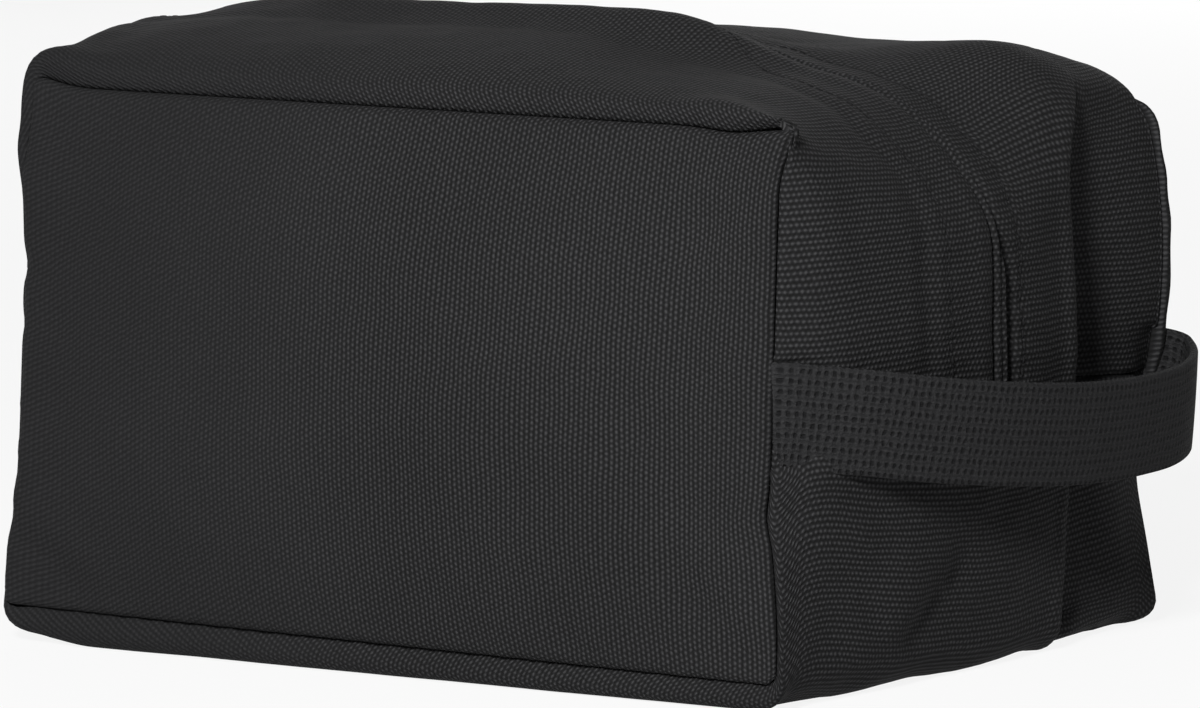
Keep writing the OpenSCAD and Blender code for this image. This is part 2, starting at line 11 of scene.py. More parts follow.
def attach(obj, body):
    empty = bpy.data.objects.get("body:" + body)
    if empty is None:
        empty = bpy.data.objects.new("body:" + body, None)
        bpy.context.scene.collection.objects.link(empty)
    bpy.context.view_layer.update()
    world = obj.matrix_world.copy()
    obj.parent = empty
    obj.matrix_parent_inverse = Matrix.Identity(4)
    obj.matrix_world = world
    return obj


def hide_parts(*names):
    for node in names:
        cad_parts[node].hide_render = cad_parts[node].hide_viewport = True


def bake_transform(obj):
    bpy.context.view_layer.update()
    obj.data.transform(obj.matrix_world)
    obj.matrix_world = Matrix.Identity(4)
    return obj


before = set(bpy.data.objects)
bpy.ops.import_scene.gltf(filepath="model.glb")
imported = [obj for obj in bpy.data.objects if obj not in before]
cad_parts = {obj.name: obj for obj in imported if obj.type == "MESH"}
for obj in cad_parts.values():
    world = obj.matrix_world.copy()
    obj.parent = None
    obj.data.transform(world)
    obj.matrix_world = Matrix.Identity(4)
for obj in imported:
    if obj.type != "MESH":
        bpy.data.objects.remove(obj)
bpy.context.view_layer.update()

bl_info = {
    "name": "Canvas sandbag",
    "version": (1, 0, 0),
    "blender": (4, 5, 0),
    "location": "3D View > Sidebar > Sandbag",
    "description": "Builds the soft parts, the handle, the zip and the finishes of a canvas sandbag",
    "category": "Add Mesh",
}

MM = 0.001

# The bag's form in millimetres, as in the part's source
HALF_WIDTH = 118.0
HALF_DEPTH = 77.5
SEAM_LIFT = 6.0
FRONT_SEAM = 136.0
BACK_SEAM = 132.0
CROWN_RISE = 15.5
END_BULGE = 12.0
FRONT_LEAN = 14.0
BACK_LEAN = 2.0
SEAM_CORNER = 4.0
BACK_CORNER = 11.0
CROWN_CORNER = 42.0
FAR_CORNER = 17.0
CORNER_FALL = 20.0
FAR_FALL = 1.0
LIP_HEIGHT = 147.0
# How far from the zip's middle a lip's edge lies along the slider's run, and beyond it
LIP_OPEN = 3.1
LIP_SHUT = 0.25
ZIP_NEAR_RUN = 53.0
ZIP_FAR_RUN = 80.0
ZIP_END_HEIGHT = 96.5
# The ridge of the fold behind the gusset's middle: how far back it lies, and how deep the fold behind it is
RIDGE = 31.5
CREASE_DEPTH = 13.5
CREASE_STATIONS = [-1, 1, 6, 12, 18, 24, 31, 38, 44]
CREASE_CLIMB = [1, 1, 1, 0.92, 0.74, 0.5, 0.22, 0.05, 0]
# Heights of the cross seams at the handle end and at the far end, and the one in the part's source
CROSS_RIGHT = 63.0
CROSS_LEFT = 90.0
CROSS_CAD = 85.0
# The middle and the half height of the panels
PANEL_MIDDLE = 70.0
PANEL_HALF = 66.0
# How deep the back seam lies, and how far the far end stands over the floor
BACK_SEAM_DEPTH = 2.7
FAR_LIFT = 2.7
# The handle's height where its front and rear ends are sewn in
STRAP_FRONT = 69.0
STRAP_REAR = 61.0
# Distances from a seam of the rows of cloth that roll into it
SEAM_DISTANCES = [0, 0.12, 0.35, 0.7, 1.15, 1.7, 2.4, 3.2, 4.2, 5.5]


# ---------------------------------------------------------------- helpers

def linear(code):
    """The linear colour of an sRGB hex value."""
    parts = [int(code[i:i + 2], 16) / 255 for i in (1, 3, 5)]
    return tuple(p / 12.92 if p <= 0.04045 else ((p + 0.055) / 1.055) ** 2.4 for p in parts) + (1.0,)


def add_node(tree, kind, settings=None, links=None, **values):
    """Adds a node with its settings, the sockets linked to it and its values, where i1 stands for socket 1."""
    node = tree.nodes.new(kind)
    for key, value in (settings or {}).items():
        setattr(node, key, value)
    for key, value in values.items():
        socket = int(key[1:]) if key[0] == "i" and key[1:].isdigit() else key.replace("_", " ")
        node.inputs[socket].default_value = value
    for key, source in (links or {}).items():
        tree.links.new(source, node.inputs[key])
    return node


def maths(tree, operation, *inputs, kind="ShaderNodeMath"):
    """The result of a maths node, whose inputs are sockets or plain values."""
    node = add_node(tree, kind, {"operation": operation})
    for socket, given in zip(node.inputs, inputs):
        if isinstance(given, bpy.types.NodeSocket):
            tree.links.new(given, socket)
        else:
            socket.default_value = given
    return node.outputs[0]


def vector_maths(tree, operation, *inputs):
    return maths(tree, operation, *inputs, kind="ShaderNodeVectorMath")


def noise(tree, place, **values):
    return add_node(tree, "ShaderNodeTexNoise", links={"Vector": place}, **values)


def remap(tree, source, kind="LINEAR", links=None, **values):
    """Maps the range i1 to i2 onto i3 to i4, which are 0 and 1 where nothing else is said."""
    links = {0: source, **(links or {})}
    return add_node(tree, "ShaderNodeMapRange", {"interpolation_type": kind}, links, **values).outputs[0]


def pushed(tree, place, drift, push):
    """Moves a place about by the colour of a noise."""
    centred = vector_maths(tree, "SUBTRACT", drift.outputs["Color"], (0.5, 0.5, 0.5))
    return vector_maths(tree, "MULTIPLY_ADD", centred, push, place)


def colour_ramp(tree, source, low, high, middle=None, start=0.0, stop=1.0):
    """Turns a level into a colour between two hex values, and through a middle one given as (place, value)."""
    ramp = add_node(tree, "ShaderNodeValToRGB", links={0: source})
    first, last = ramp.color_ramp.elements
    first.position, last.position = start, stop
    first.color, last.color = linear(low), linear(high)
    if middle:
        ramp.color_ramp.elements.new(middle[0]).color = linear(middle[1])
    return ramp.outputs[0]


def add_relief(tree, shader, height, strength, depth):
    """Gives a shader a relief of a depth in mm."""
    bump = add_node(tree, "ShaderNodeBump", links={"Height": height}, Strength=strength, Distance=depth * MM)
    tree.links.new(bump.outputs[0], shader.inputs["Normal"])


def set_gloss(shader, roughness, specular):
    shader.inputs["Roughness"].default_value = roughness
    shader.inputs["Specular IOR Level"].default_value = specular


def new_material(name):
    """An empty material with its output and a Principled shader joined to it."""
    material = bpy.data.materials.new(name)
    material.use_nodes = True
    tree = material.node_tree
    tree.nodes.clear()
    shader = add_node(tree, "ShaderNodeBsdfPrincipled")
    add_node(tree, "ShaderNodeOutputMaterial", links={"Surface": shader.outputs[0]})
    return material, tree, shader


def direction(azimuth, elevation):
    """The unit vector towards an azimuth and an elevation in degrees."""
    a, e = math.radians(azimuth), math.radians(elevation)
    return Vector((math.sin(a) * math.cos(e), -math.cos(a) * math.cos(e), math.sin(e)))


def ease(t):
    """A smooth step from 0 at t = 0 to 1 at t = 1."""
    t = np.clip(t, 0, 1)
    return t * t * (3 - 2 * t)


def hump(t, width):
    """A smooth hump that is 1 at t = 0."""
    return np.exp(-(t / width) ** 2)


def ripple(x, y, size, seed, waves=7):
    """Smooth unevenness between about -1 and 1, for places in mm and a size in mm."""
    draw = random.Random(seed)
    total = 0
    for _ in range(waves):
        turn = draw.uniform(0, 2 * math.pi)
        pace = 2 * math.pi / (size * draw.uniform(0.7, 1.5))
        total = total + np.sin((x * math.cos(turn) + y * math.sin(turn)) * pace + draw.uniform(0, 6.3))
    return total / math.sqrt(waves)


def spaced(start, stop, step):
    """Even stations from start to stop, about a step apart, without the last one."""
    count = max(1, int(round(abs(stop - start) / step)))
    return [start + (stop - start) * i / count for i in range(count)]


def distances(line):
    """The distance of each point along a line from its first one."""
    return np.concatenate([[0], np.cumsum(np.linalg.norm(np.diff(line, axis=0), axis=1))])


def sample(line, length, place):
    """The point at a distance along a line of points whose distances are given."""
    return [np.interp(place, length, line[:, k]) for k in range(3)]


def normals(points):
    """Unit normals of a grid of points."""
    across = np.gradient(points, axis=0)
    along = np.gradient(points, axis=1)
    n = np.cross(along, across)
    return n / np.maximum(np.linalg.norm(n, axis=2, keepdims=True), 1e-9)


def object_from(name, bm, material=None):
    """Turns a bmesh in metres into an object in the scene."""
    mesh = bpy.data.meshes.new(name)
    bm.to_mesh(mesh)
    bm.free()
    piece = bpy.data.objects.new(name, mesh)
    bpy.context.scene.collection.objects.link(piece)
    if material:
        mesh.materials.append(material)
    return piece


def fabric_grid(name, points, uv, material, wall, body="shell", centre=(0, 0, 70)):
    """A cloth piece from a grid of points in mm, with its wall on the inside and a UV map in mm."""
    rows, cols = points.shape[:2]
    bm = bmesh.new()
    bmesh.ops.create_grid(bm, x_segments=cols - 1, y_segments=rows - 1, size=0.5)
    bm.verts.ensure_lookup_table()
    order = {}
    for vert in bm.verts:
        i = int(round((vert.co.y + 0.5) * (rows - 1)))
        j = int(round((vert.co.x + 0.5) * (cols - 1)))
        order[vert.index] = (i, j)
    for vert in bm.verts:
        vert.co = Vector(points[order[vert.index]]) * MM
    layer = bm.loops.layers.uv.new("weave")
    for face in bm.faces:
        face.smooth = True
        for loop in face.loops:
            loop[layer].uv = uv[order[loop.vert.index]]
    bm.normal_update()
    middle = Vector(centre) * MM
    vote = sum((1 if f.normal.dot(f.calc_center_median() - middle) > 0 else -1) for f in bm.faces)
    if vote < 0:
        bmesh.ops.reverse_faces(bm, faces=bm.faces)
    piece = object_from(name, bm, material)
    if wall:
        shell = piece.modifiers.new("wall", "SOLIDIFY")
        shell.thickness = wall * MM
        shell.offset = -1
        shell.use_even_offset = False
    if body:
        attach(piece, body)
    return piece


def piece_from(name, bm, material, body="shell", smooth=True):
    """Turns a bmesh in metres into a piece that rides on a body."""
    for face in bm.faces:
        face.smooth = smooth
    piece = object_from(name, bm, material)
    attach(piece, body)
    return piece


def tube(bm, points, radius, sides):
    """Sweeps a closed tube along points in mm."""
    points = [Vector(p) * MM for p in points]
    rings = []
    side = None
    for i, p in enumerate(points):
        ahead = (points[min(i + 1, len(points) - 1)] - points[max(i - 1, 0)]).normalized()
        if side is None:
            side = ahead.orthogonal().normalized()
        side = (side - ahead * side.dot(ahead)).normalized()
        other = ahead.cross(side)
        made = bmesh.ops.create_circle(bm, segments=sides, radius=radius * MM, cap_ends=False,
                                       matrix=Matrix((side, other, ahead)).transposed().to_4x4())
        ring = made["verts"]
        bmesh.ops.translate(bm, verts=ring, vec=p)
        rings.append(ring)
    for a, b in zip(rings, rings[1:]):
        for k in range(sides):
            bm.faces.new((a[k], a[(k + 1) % sides], b[(k + 1) % sides], b[k]))
    bm.faces.new(list(reversed(rings[0])))
    bm.faces.new(rings[-1])


# ---------------------------------------------------------------- the bag's form, in mm

def roundness(v):
    return np.sqrt(np.maximum(0, 1 - v * v))


def swell(v, far, z):
    """How far an end stands out of its seams."""
    power = np.where(far, 1.15, np.where(v < 0, 0.95, 1.25))
    share = 0.3 + 0.7 * np.sin(np.pi / 2 * np.clip(z / 75, 0, 1))
    return END_BULGE * np.maximum(0, 1 - v * v) ** power * share


def sway(v, z):
    """Sideways spread of the back panel and of the gusset near it."""
    spread = v * v * (7.0 * hump(z - 98, 38) - 4.2 * hump(z - 40, 17) + 2.0 * hump(z, 12))
    return np.where(v < 0, 0, spread)


def lean(v, z):
    return np.where(v < 0, FRONT_LEAN, -BACK_LEAN) * v * v * z / FRONT_SEAM


def seam_top(v):
    return FRONT_SEAM - np.maximum(0, v) * (FRONT_SEAM - BACK_SEAM)


def seam_shift(x, z):
    """Small pulls of the front seams: an ear at the top corner, a tuck under the handle and a bow at the far end."""
    top = hump(z - FRONT_SEAM, 7) * (x > 0)
    near = ease((x - 88) / 30)
    dx = 2.0 * hump(x - 118, 9) * hump(z - 138, 6) - 1.1 * hump(z - 45, 5) * near
    dx = dx - 3.5 * near * ease((z - 14) / 40) * ease((138 - z) / 18)
    dz = top * (-1.0 * hump(x - 99, 8) + 0.8 * hump(x - 118, 6)) + 2.4 * hump(x + 118, 10) * hump(z - FRONT_SEAM, 9)
    bow = 2.3 + 4.0 * hump(z - 6, 26) + 1.2 * hump(z - 116, 14) - 2.0 * ease((z - 118) / 12) \
        - 1.4 * hump(z - 91, 4) - 0.7 * hump(z - 76, 3)
    dx = dx - bow * ease((-x - 96) / 22)
    return dx, dz


def warped(x, z, v):
    """Turns a place on the rounded section into a point of the gusset."""
    px = x * (1 + (swell(v, x < 0, z) + sway(v, z)) / HALF_WIDTH)
    py = v * HALF_DEPTH + lean(v, z)
    near = hump((1 + v) * HALF_DEPTH, 9)
    dx, dz = seam_shift(x, z)
    return np.stack([px + dx * near, py + 0 * px, z + dz * near + 0 * px], -1)


def far_lift(x):
    """How far the cloth stands over its own level, which grows towards the far end."""
    return FAR_LIFT * np.clip(1 - (x + HALF_WIDTH) / (2 * HALF_WIDTH), 0, 1.05)


def settled(points):
    """Lets the far end stand a little higher over the floor."""
    p = points.copy()
    x, z = p[..., 0], p[..., 2]
    lift = far_lift(x)
    low = 1 - np.clip(z / 6, 0, 1)
    zone = (1 - ease((np.abs(p[..., 1]) - 5) / 18)) * ease((z - 100) / 35)
    p[..., 2] = z + lift * (1 - low + 0.7 * low * ease((-x - 98) / 20)) * (1 - zone)
    return p


def ridge_line(x):
    """How much higher or lower than a straight line the top of the bag lies."""
    return 0.6 * hump(x + 62, 34) - 2.0 * hump(x + 98, 15) - 1.4 * hump(x - 68, 32) + 0.7 * hump(x - 15, 30)


def upper(u, v):
    """The gusset above the cross seams: u from 0 at the right one to 5 at the left one."""
    u, v = np.broadcast_arrays(np.asarray(u, float), np.asarray(v, float))
    m = u > 2.5
    w = np.where(m, 5 - u, u)
    seam = np.where(v < 0, SEAM_CORNER, SEAM_CORNER + (BACK_CORNER - SEAM_CORNER) * v * v)
    near = CROWN_CORNER - 13 * ease((v - 0.1) / 0.45)
    corner = seam + (np.where(m, FAR_CORNER, near) - seam) * roundness(v)
    top = seam_top(v) + CROWN_RISE * roundness(v)
    low = np.where(m, CROSS_LEFT, CROSS_RIGHT)
    turn = np.pi / 2 * (np.clip(w, 1, 2) - 1)
    x = np.where(w <= 1, HALF_WIDTH, np.where(
        w <= 2, HALF_WIDTH - corner + corner * np.cos(turn), (HALF_WIDTH - corner) * (5 - 2 * w)))
    z = np.where(w <= 1, low + (top - corner - low) * w, np.where(
        w <= 2, top - corner + corner * np.sin(turn), top))
    x = np.where(m, -x, x)
    rise = np.maximum(0, z - CROSS_CAD) / (top - CROSS_CAD)
    fall = CORNER_FALL * (1 - 0.88 * ease((v - 0.05) / 0.45))
    z = z - np.where(m, FAR_FALL, fall) * (1 - v * v) * (x / HALF_WIDTH) ** 2 * rise
    z = z + ridge_line(x) * (1 - v * v) * rise
    flat = ease((9.5 - np.abs(v) * HALF_DEPTH) / 4)
    z = np.where(z > LIP_HEIGHT, LIP_HEIGHT + (z - LIP_HEIGHT) * (1 - flat), z)
    return warped(x, z, v)


def lower(u, v):
    """The gusset below the cross seams: u from 0 at the left one to 5 at the right one."""
    u, v = np.broadcast_arrays(np.asarray(u, float), np.asarray(v, float))
    m = u > 2.5
    w = np.where(m, 5 - u, u)
    gap = (1 - np.abs(v)) * HALF_DEPTH
    floor = SEAM_LIFT * (1 - np.sqrt(np.maximum(0, 1 - (1 - np.minimum(gap / 7, 1)) ** 2)))
    widening = np.where(m, 9.5 - 2 * ease(v + 0.5), 10) * ease(gap / 9)
    r = SEAM_CORNER + widening + np.where(m, -5, 6) * ease((gap - 9) / 40)
    high = np.where(m, CROSS_RIGHT, CROSS_LEFT)
    turn = np.pi / 2 * (np.clip(w, 1, 2) - 1)
    x = np.where(w <= 1, -HALF_WIDTH, np.where(
        w <= 2, -HALF_WIDTH + r - r * np.cos(turn), -(HALF_WIDTH - r) * (5 - 2 * w)))
    z = np.where(w <= 1, high + (floor + r - high) * w, np.where(
        w <= 2, floor + r - r * np.sin(turn), floor))
    return warped(np.where(m, -x, x), z, v)


def even_stations(section, step, places):
    """For each place in depth, values of u about a step apart along the section, and their distances along it."""
    fine = np.linspace(0, 5, 2501)
    stations, lengths, count = [], [], None
    for v in places:
        line = section(fine, v)
        run = distances(line)
        count = count or int(run[-1] / step)
        length = np.linspace(0, run[-1], count + 1)
        stations.append(np.interp(length, run, fine))
        lengths.append(length)
    return np.array(stations), np.array(lengths)


def crease(y, strength):
    """The fold behind the middle of the gusset: a rolled ridge, a steep step, a floor and a slow rise."""
    e = y - RIDGE
    drop = ease((e + 0.3) / 1.5)
    climb = np.interp(e, CREASE_STATIONS, CREASE_CLIMB)
    return -CREASE_DEPTH * strength * drop * climb + 1.3 * np.minimum(1, 1.3 * strength) * hump(e + 2.4, 2.6)


def crease_shift(u):
    """How far the fold runs back as it climbs over the corner."""
    return 17.0 * ease((np.minimum(u, 5 - u) - 0.95) / 0.62)


def press(points, v):
    """How far the strap's sewn ends press into the gusset."""
    x, z = points[..., 0], points[..., 2]
    front = (1 - ease((np.abs(z - STRAP_FRONT) - 11.4) / 2.6)) * (1 - ease(((1 + v) * HALF_DEPTH - 5) / 13))
    rear = (1 - ease((np.abs(z - STRAP_REAR) - 11.4) / 2.6)) * (1 - ease(((1 - v) * HALF_DEPTH - 4) / 9))
    return -(2.3 * front + 1.8 * rear) * (x > 100)


def folds(points, lines):
    """Soft folds along straight lines: each one is (from, to, width, height) in mm."""
    total = np.zeros(points.shape[:2])
    for a, b, width, height in lines:
        a, b = np.array(a, float), np.array(b, float)
        d = b - a
        t = np.clip(((points - a) @ d) / (d @ d), 0, 1)
        gap = np.linalg.norm(points - (a + t[..., None] * d), axis=-1)
        fade = np.sin(np.pi * np.clip(t * 0.9 + 0.1, 0, 1)) ** 0.5
        total += height * hump(gap, width) * fade
    return total


def groove(gap, width):
    """A rolled edge: 1 at the seam, 0 where the cloth is full again."""
    t = 1 - np.clip(gap / width, 0, 1)
    return 0.75 * (1 - np.sqrt(np.maximum(0, 1 - t * t))) + 0.25 * t * t


def seam_depth(points):
    """How deep the front seam lies, from a point on it."""
    x, z = points[..., 0], points[..., 2]
    corner = hump(x - 112, 14) * ease((z - 124) / 8)
    far = ease((-x - 100) / 17) * np.clip(1 - ((z - 68) / 62) ** 4, 0, 1)
    return 2.0 + 2.0 * corner + 3.6 * far


def arc_uv(points, length, first=0.0):
    """UV in mm: the distance along each row, and the distance across the rows from the first one."""
    steps = np.linalg.norm(np.diff(points, axis=0), axis=2)
    across = first + np.concatenate([np.zeros((1, points.shape[1])), np.cumsum(steps, axis=0)])
    along = np.broadcast_to(length, across.shape) if length.ndim < 2 or len(length) == len(across) \
        else np.concatenate([length] + [length[-1:]] * (len(across) - len(length)))
    return np.stack([along, across], -1)


def edge_rows(points, side, gap, base_edge, depth, width=3.6):
    """Turns the rows near a seam inwards, towards the line that both cloths share."""
    inward = np.zeros_like(base_edge)
    inward[..., 1] = -side
    section = base_edge[..., [0, 2]] - np.array([0, PANEL_MIDDLE])
    inward[..., 0] = -section[..., 0] / HALF_WIDTH * 0.5
    inward[..., 2] = -section[..., 1] / PANEL_HALF * 0.5
    wide, high = np.abs(section[..., 0]) / HALF_WIDTH, np.abs(section[..., 1]) / PANEL_HALF
    inward[..., 0] *= ease((wide - 0.9 * high) / 0.12)
    inward[..., 2] *= ease((high - 0.9 * wide) / 0.12)
    pull = depth[None] * groove(gap, width)
    moved = points.copy()
    moved[..., 1] += inward[None, :, 1] * pull
    moved[..., 0] += inward[None, :, 0] * np.minimum(pull, 2.0)
    moved[..., 2] += inward[None, :, 2] * np.minimum(pull, 2.0)
    return moved


# ---------------------------------------------------------------- materials

def weave_canvas(name, dark, mid, light, rib=1.40, nub=1.35, relief=0.22):
    """Cotton duck, plain woven and piece dyed black: matt, with rows of rounded yarn crowns."""
    material, tree, shader = new_material(name)
    uv = add_node(tree, "ShaderNodeUVMap", {"uv_map": "weave"}).outputs[0]
    drift = noise(tree, uv, Scale=0.035, Detail=2.0)
    drifted = pushed(tree, uv, drift, (2.0, 2.0, 0))
    jitter = noise(tree, uv, Scale=0.55, Detail=1.0)
    place = pushed(tree, drifted, jitter, (0.35, 0.6, 0))
    axes = add_node(tree, "ShaderNodeSeparateXYZ", links={0: place})
    across = maths(tree, "MULTIPLY", axes.outputs[0], math.pi / rib)
    along = maths(tree, "MULTIPLY", axes.outputs[1], 2 * math.pi / nub)
    lean_in = maths(tree, "SINE", across)
    cross = maths(tree, "COSINE", across)
    down = maths(tree, "COSINE", along)
    crowns = maths(tree, "MULTIPLY", cross, down)
    # Towards the far end the crowns lie flatter and lean over into diagonal lines, and the colour there is darkened as
    # painted shade
    body = add_node(tree, "ShaderNodeTexCoord")
    spot = add_node(tree, "ShaderNodeSeparateXYZ", links={0: body.outputs["Object"]})
    flat = remap(tree, spot.outputs[0], "SMOOTHSTEP", i1=0.02, i2=-0.11, i3=0.0, i4=1.0)
    slope = maths(tree, "SINE", along)
    other = maths(tree, "MULTIPLY", lean_in, slope)
    tilted = maths(tree, "MULTIPLY", other, flat)
    leaning = maths(tree, "MULTIPLY_ADD", tilted, 0.8, crowns)
    nubs = maths(tree, "MULTIPLY", leaning, 0.55)
    valley = maths(tree, "MULTIPLY", lean_in, lean_in)
    depth = remap(tree, flat, i3=-1.15, i4=-0.45)
    height = maths(tree, "MULTIPLY_ADD", valley, depth, nubs)
    slub = noise(tree, uv, Scale=0.9, Detail=3.0, Roughness=0.6)
    slubbed = maths(tree, "MULTIPLY_ADD", slub.outputs[0], 1.1, height)
    lowest = remap(tree, flat, i3=-0.75, i4=-1.8)
    highest = remap(tree, flat, i3=0.9, i4=2.1)
    level = remap(tree, slubbed, links={1: lowest, 2: highest})
    ramp = colour_ramp(tree, level, dark, light, (0.5, mid))
    wear = noise(tree, uv, Scale=0.02, Detail=3.0)
    wear_and_painted_shade = remap(tree, wear.outputs[0], i1=0.25, i2=0.75, i3=0.93, i4=1.07)
    # Painted shade: the colour is darkened by up to 16 per cent towards the far end of the bag
    shade = remap(tree, flat, i3=1.0, i4=0.84)
    wear_and_painted_shade = maths(tree, "MULTIPLY", wear_and_painted_shade, shade)
    tinted = add_node(tree, "ShaderNodeVectorMath", {"operation": "SCALE"}, {0: ramp, "Scale": wear_and_painted_shade})
    tree.links.new(tinted.outputs[0], shader.inputs["Base Color"])
    add_relief(tree, shader, slubbed, 0.8, relief)
    set_gloss(shader, 0.88, 0.08)
    return material


def webbing_cotton(name, dark, mid, light, rib=1.95, hole=2.54):
    """Cotton webbing: thick warp ribs with rows of small holes between them, matt and a little fuzzy."""
    material, tree, shader = new_material(name)
    uv = add_node(tree, "ShaderNodeUVMap", {"uv_map": "weave"}).outputs[0]
    jitter = noise(tree, uv, Scale=0.35, Detail=2.0)
    place = pushed(tree, uv, jitter, (1.5, 0.9, 0))
    axes = add_node(tree, "ShaderNodeSeparateXYZ", links={0: place})
    along = maths(tree, "MULTIPLY", axes.outputs[0], 2 * math.pi / rib)
    over = maths(tree, "MULTIPLY", axes.outputs[1], 2 * math.pi / hole)
    twice = maths(tree, "MULTIPLY", axes.outputs[1], 4 * math.pi / hole)
    wave_along = maths(tree, "COSINE", along)
    wave_over = maths(tree, "COSINE", over)
    wave_twice = maths(tree, "COSINE", twice)
    hole_a = remap(tree, wave_along, "SMOOTHSTEP", i1=-0.25, i2=0.8)
    hole_b = remap(tree, wave_over, "SMOOTHSTEP", i1=-0.45, i2=0.75)
    holes = maths(tree, "MULTIPLY", hole_a, hole_b)
    ribs = maths(tree, "MULTIPLY", wave_twice, -0.16)
    weft = maths(tree, "MULTIPLY_ADD", wave_along, -0.12, ribs)
    fluff = noise(tree, uv, Scale=1.6, Detail=3.0, Roughness=0.6)
    base = maths(tree, "MULTIPLY_ADD", fluff.outputs[0], 1.8, weft)
    height = maths(tree, "SUBTRACT", base, holes)
    level = remap(tree, height, i1=-0.42, i2=1.5)
    ramp = colour_ramp(tree, level, dark, light, (0.6, mid))
    tree.links.new(ramp, shader.inputs["Base Color"])
    add_relief(tree, shader, height, 0.9, 0.5)
    set_gloss(shader, 0.9, 0.1)
    return material


def speckled(name, dark, light, size, rough, relief, specular):
    """A plain finish whose colour and gloss vary a little over a size in mm."""
    material, tree, shader = new_material(name)
    place = add_node(tree, "ShaderNodeTexCoord")
    grain = noise(tree, place.outputs["Object"], Scale=1 / (size * MM), Detail=3.0)
    ramp = colour_ramp(tree, grain.outputs[0], dark, light, start=0.3, stop=0.7)
    tree.links.new(ramp, shader.inputs["Base Color"])
    gloss = remap(tree, grain.outputs[0], i1=0.3, i2=0.7, i3=rough - 0.06, i4=rough + 0.06)
    tree.links.new(gloss, shader.inputs["Roughness"])
    if relief:
        add_relief(tree, shader, grain.outputs[0], 0.6, relief)
    shader.inputs["Specular IOR Level"].default_value = specular
    return material


def finish_node(node, material):
    """Gives a carried-over CAD node its finish."""
    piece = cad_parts[node]
    piece.data.materials.clear()
    piece.data.materials.append(material)


# ---------------------------------------------------------------- settings

class SandbagSettings(bpy.types.PropertyGroup):
    """Sizes and colours of the sandbag"""
    canvas_thickness: bpy.props.FloatProperty(
        name="Canvas thickness", description="Thickness of the canvas in millimetres", default=1.2, min=0.6, max=2.0)
    panel_swell: bpy.props.FloatProperty(
        name="Panel swell", description="How far the large panels swell out of their seams, in millimetres",
        default=10.5, min=2, max=16)
    wrinkle_height: bpy.props.FloatProperty(
        name="Wrinkle height", description="Height of the soft folds, as a share of the usual one",
        default=1.0, min=0, max=2)
    stitch_length: bpy.props.FloatProperty(
        name="Stitch length", description="Length of one stitch in millimetres", default=3.0, min=2, max=5)
    strap_width: bpy.props.FloatProperty(
        name="Strap width", description="Width of the handle's webbing in millimetres", default=25.4, min=20, max=26)
    strap_thickness: bpy.props.FloatProperty(
        name="Strap thickness", description="Thickness of the handle's webbing in millimetres",
        default=2.0, min=1.2, max=3)
    canvas_dark: bpy.props.StringProperty(
        name="Canvas hollows", description="sRGB colour between the yarns", default="#161616")
    canvas_mid: bpy.props.StringProperty(
        name="Canvas", description="sRGB colour of the canvas", default="#252526")
    canvas_light: bpy.props.StringProperty(
        name="Canvas crowns", description="sRGB colour of the crowns of the yarns", default="#3e3e3f")
    webbing_dark: bpy.props.StringProperty(
        name="Webbing holes", description="sRGB colour in the holes of the webbing", default="#171718")
    webbing_mid: bpy.props.StringProperty(
        name="Webbing", description="sRGB colour of the webbing", default="#262627")
    webbing_light: bpy.props.StringProperty(
        name="Webbing ribs", description="sRGB colour of the tops of the webbing's ribs", default="#373738")


def settings():
    return bpy.context.scene.sandbag


def material(key):
    """The material of one key, made the first time that it is asked for."""
    s = settings()
    name = MATERIAL_NAMES[key]
    made = bpy.data.materials.get(name)
    if made:
        return made
    if key == "canvas":
        return weave_canvas(name, s.canvas_dark, s.canvas_mid, s.canvas_light)
    if key == "webbing":
        return webbing_cotton(name, s.webbing_dark, s.webbing_mid, s.webbing_light)
    return speckled(name, *PLAIN_FINISHES[key])


# Colours of the hollows and the crowns, size of the grain in mm, roughness, relief in mm and specular level
PLAIN_FINISHES = {
    # Spun polyester thread: satin and darker than the cloth
    "thread": ("#131314", "#202021", 0.5, 0.75, 0.1, 0.15),
    # Woven polyester zip tape: close and matt
    "zip_tape": ("#131314", "#1e1e1f", 0.6, 0.8, 0.15, 0.3),
    # Nylon monofilament coil: smooth and satin
    "coil": ("#101011", "#1a1a1b", 1.5, 0.38, 0.0, 0.5),
    # Zinc die casting with black enamel: satin, with a little unevenness
    "enamel": ("#111112", "#1a1a1b", 2.0, 0.5, 0.0, 0.22),
    # Cotton twill binding tape: matt
    "binding": ("#151516", "#222223", 0.9, 0.9, 0.2, 0.2),
    # Heavy polythene film: dark grey and smooth
    "film": ("#26282a", "#323437", 8.0, 0.5, 0.0, 0.3),
    # Dry washed sand: pale brown grains of about half a millimetre
    "sand": ("#8e7146", "#d2b483", 0.7, 0.95, 0.5, 0.2),
}
MATERIAL_NAMES = {
    "canvas": "cotton duck, black dyed", "webbing": "cotton webbing, black dyed",
    "thread": "spun polyester thread, black", "zip_tape": "polyester zip tape, black",
    "coil": "nylon coil, black", "enamel": "zinc casting, black enamel",
    "binding": "cotton binding tape, black", "film": "polythene film, dark grey",
    "sand": "washed sand, dry",
}


# ---------------------------------------------------------------- stage

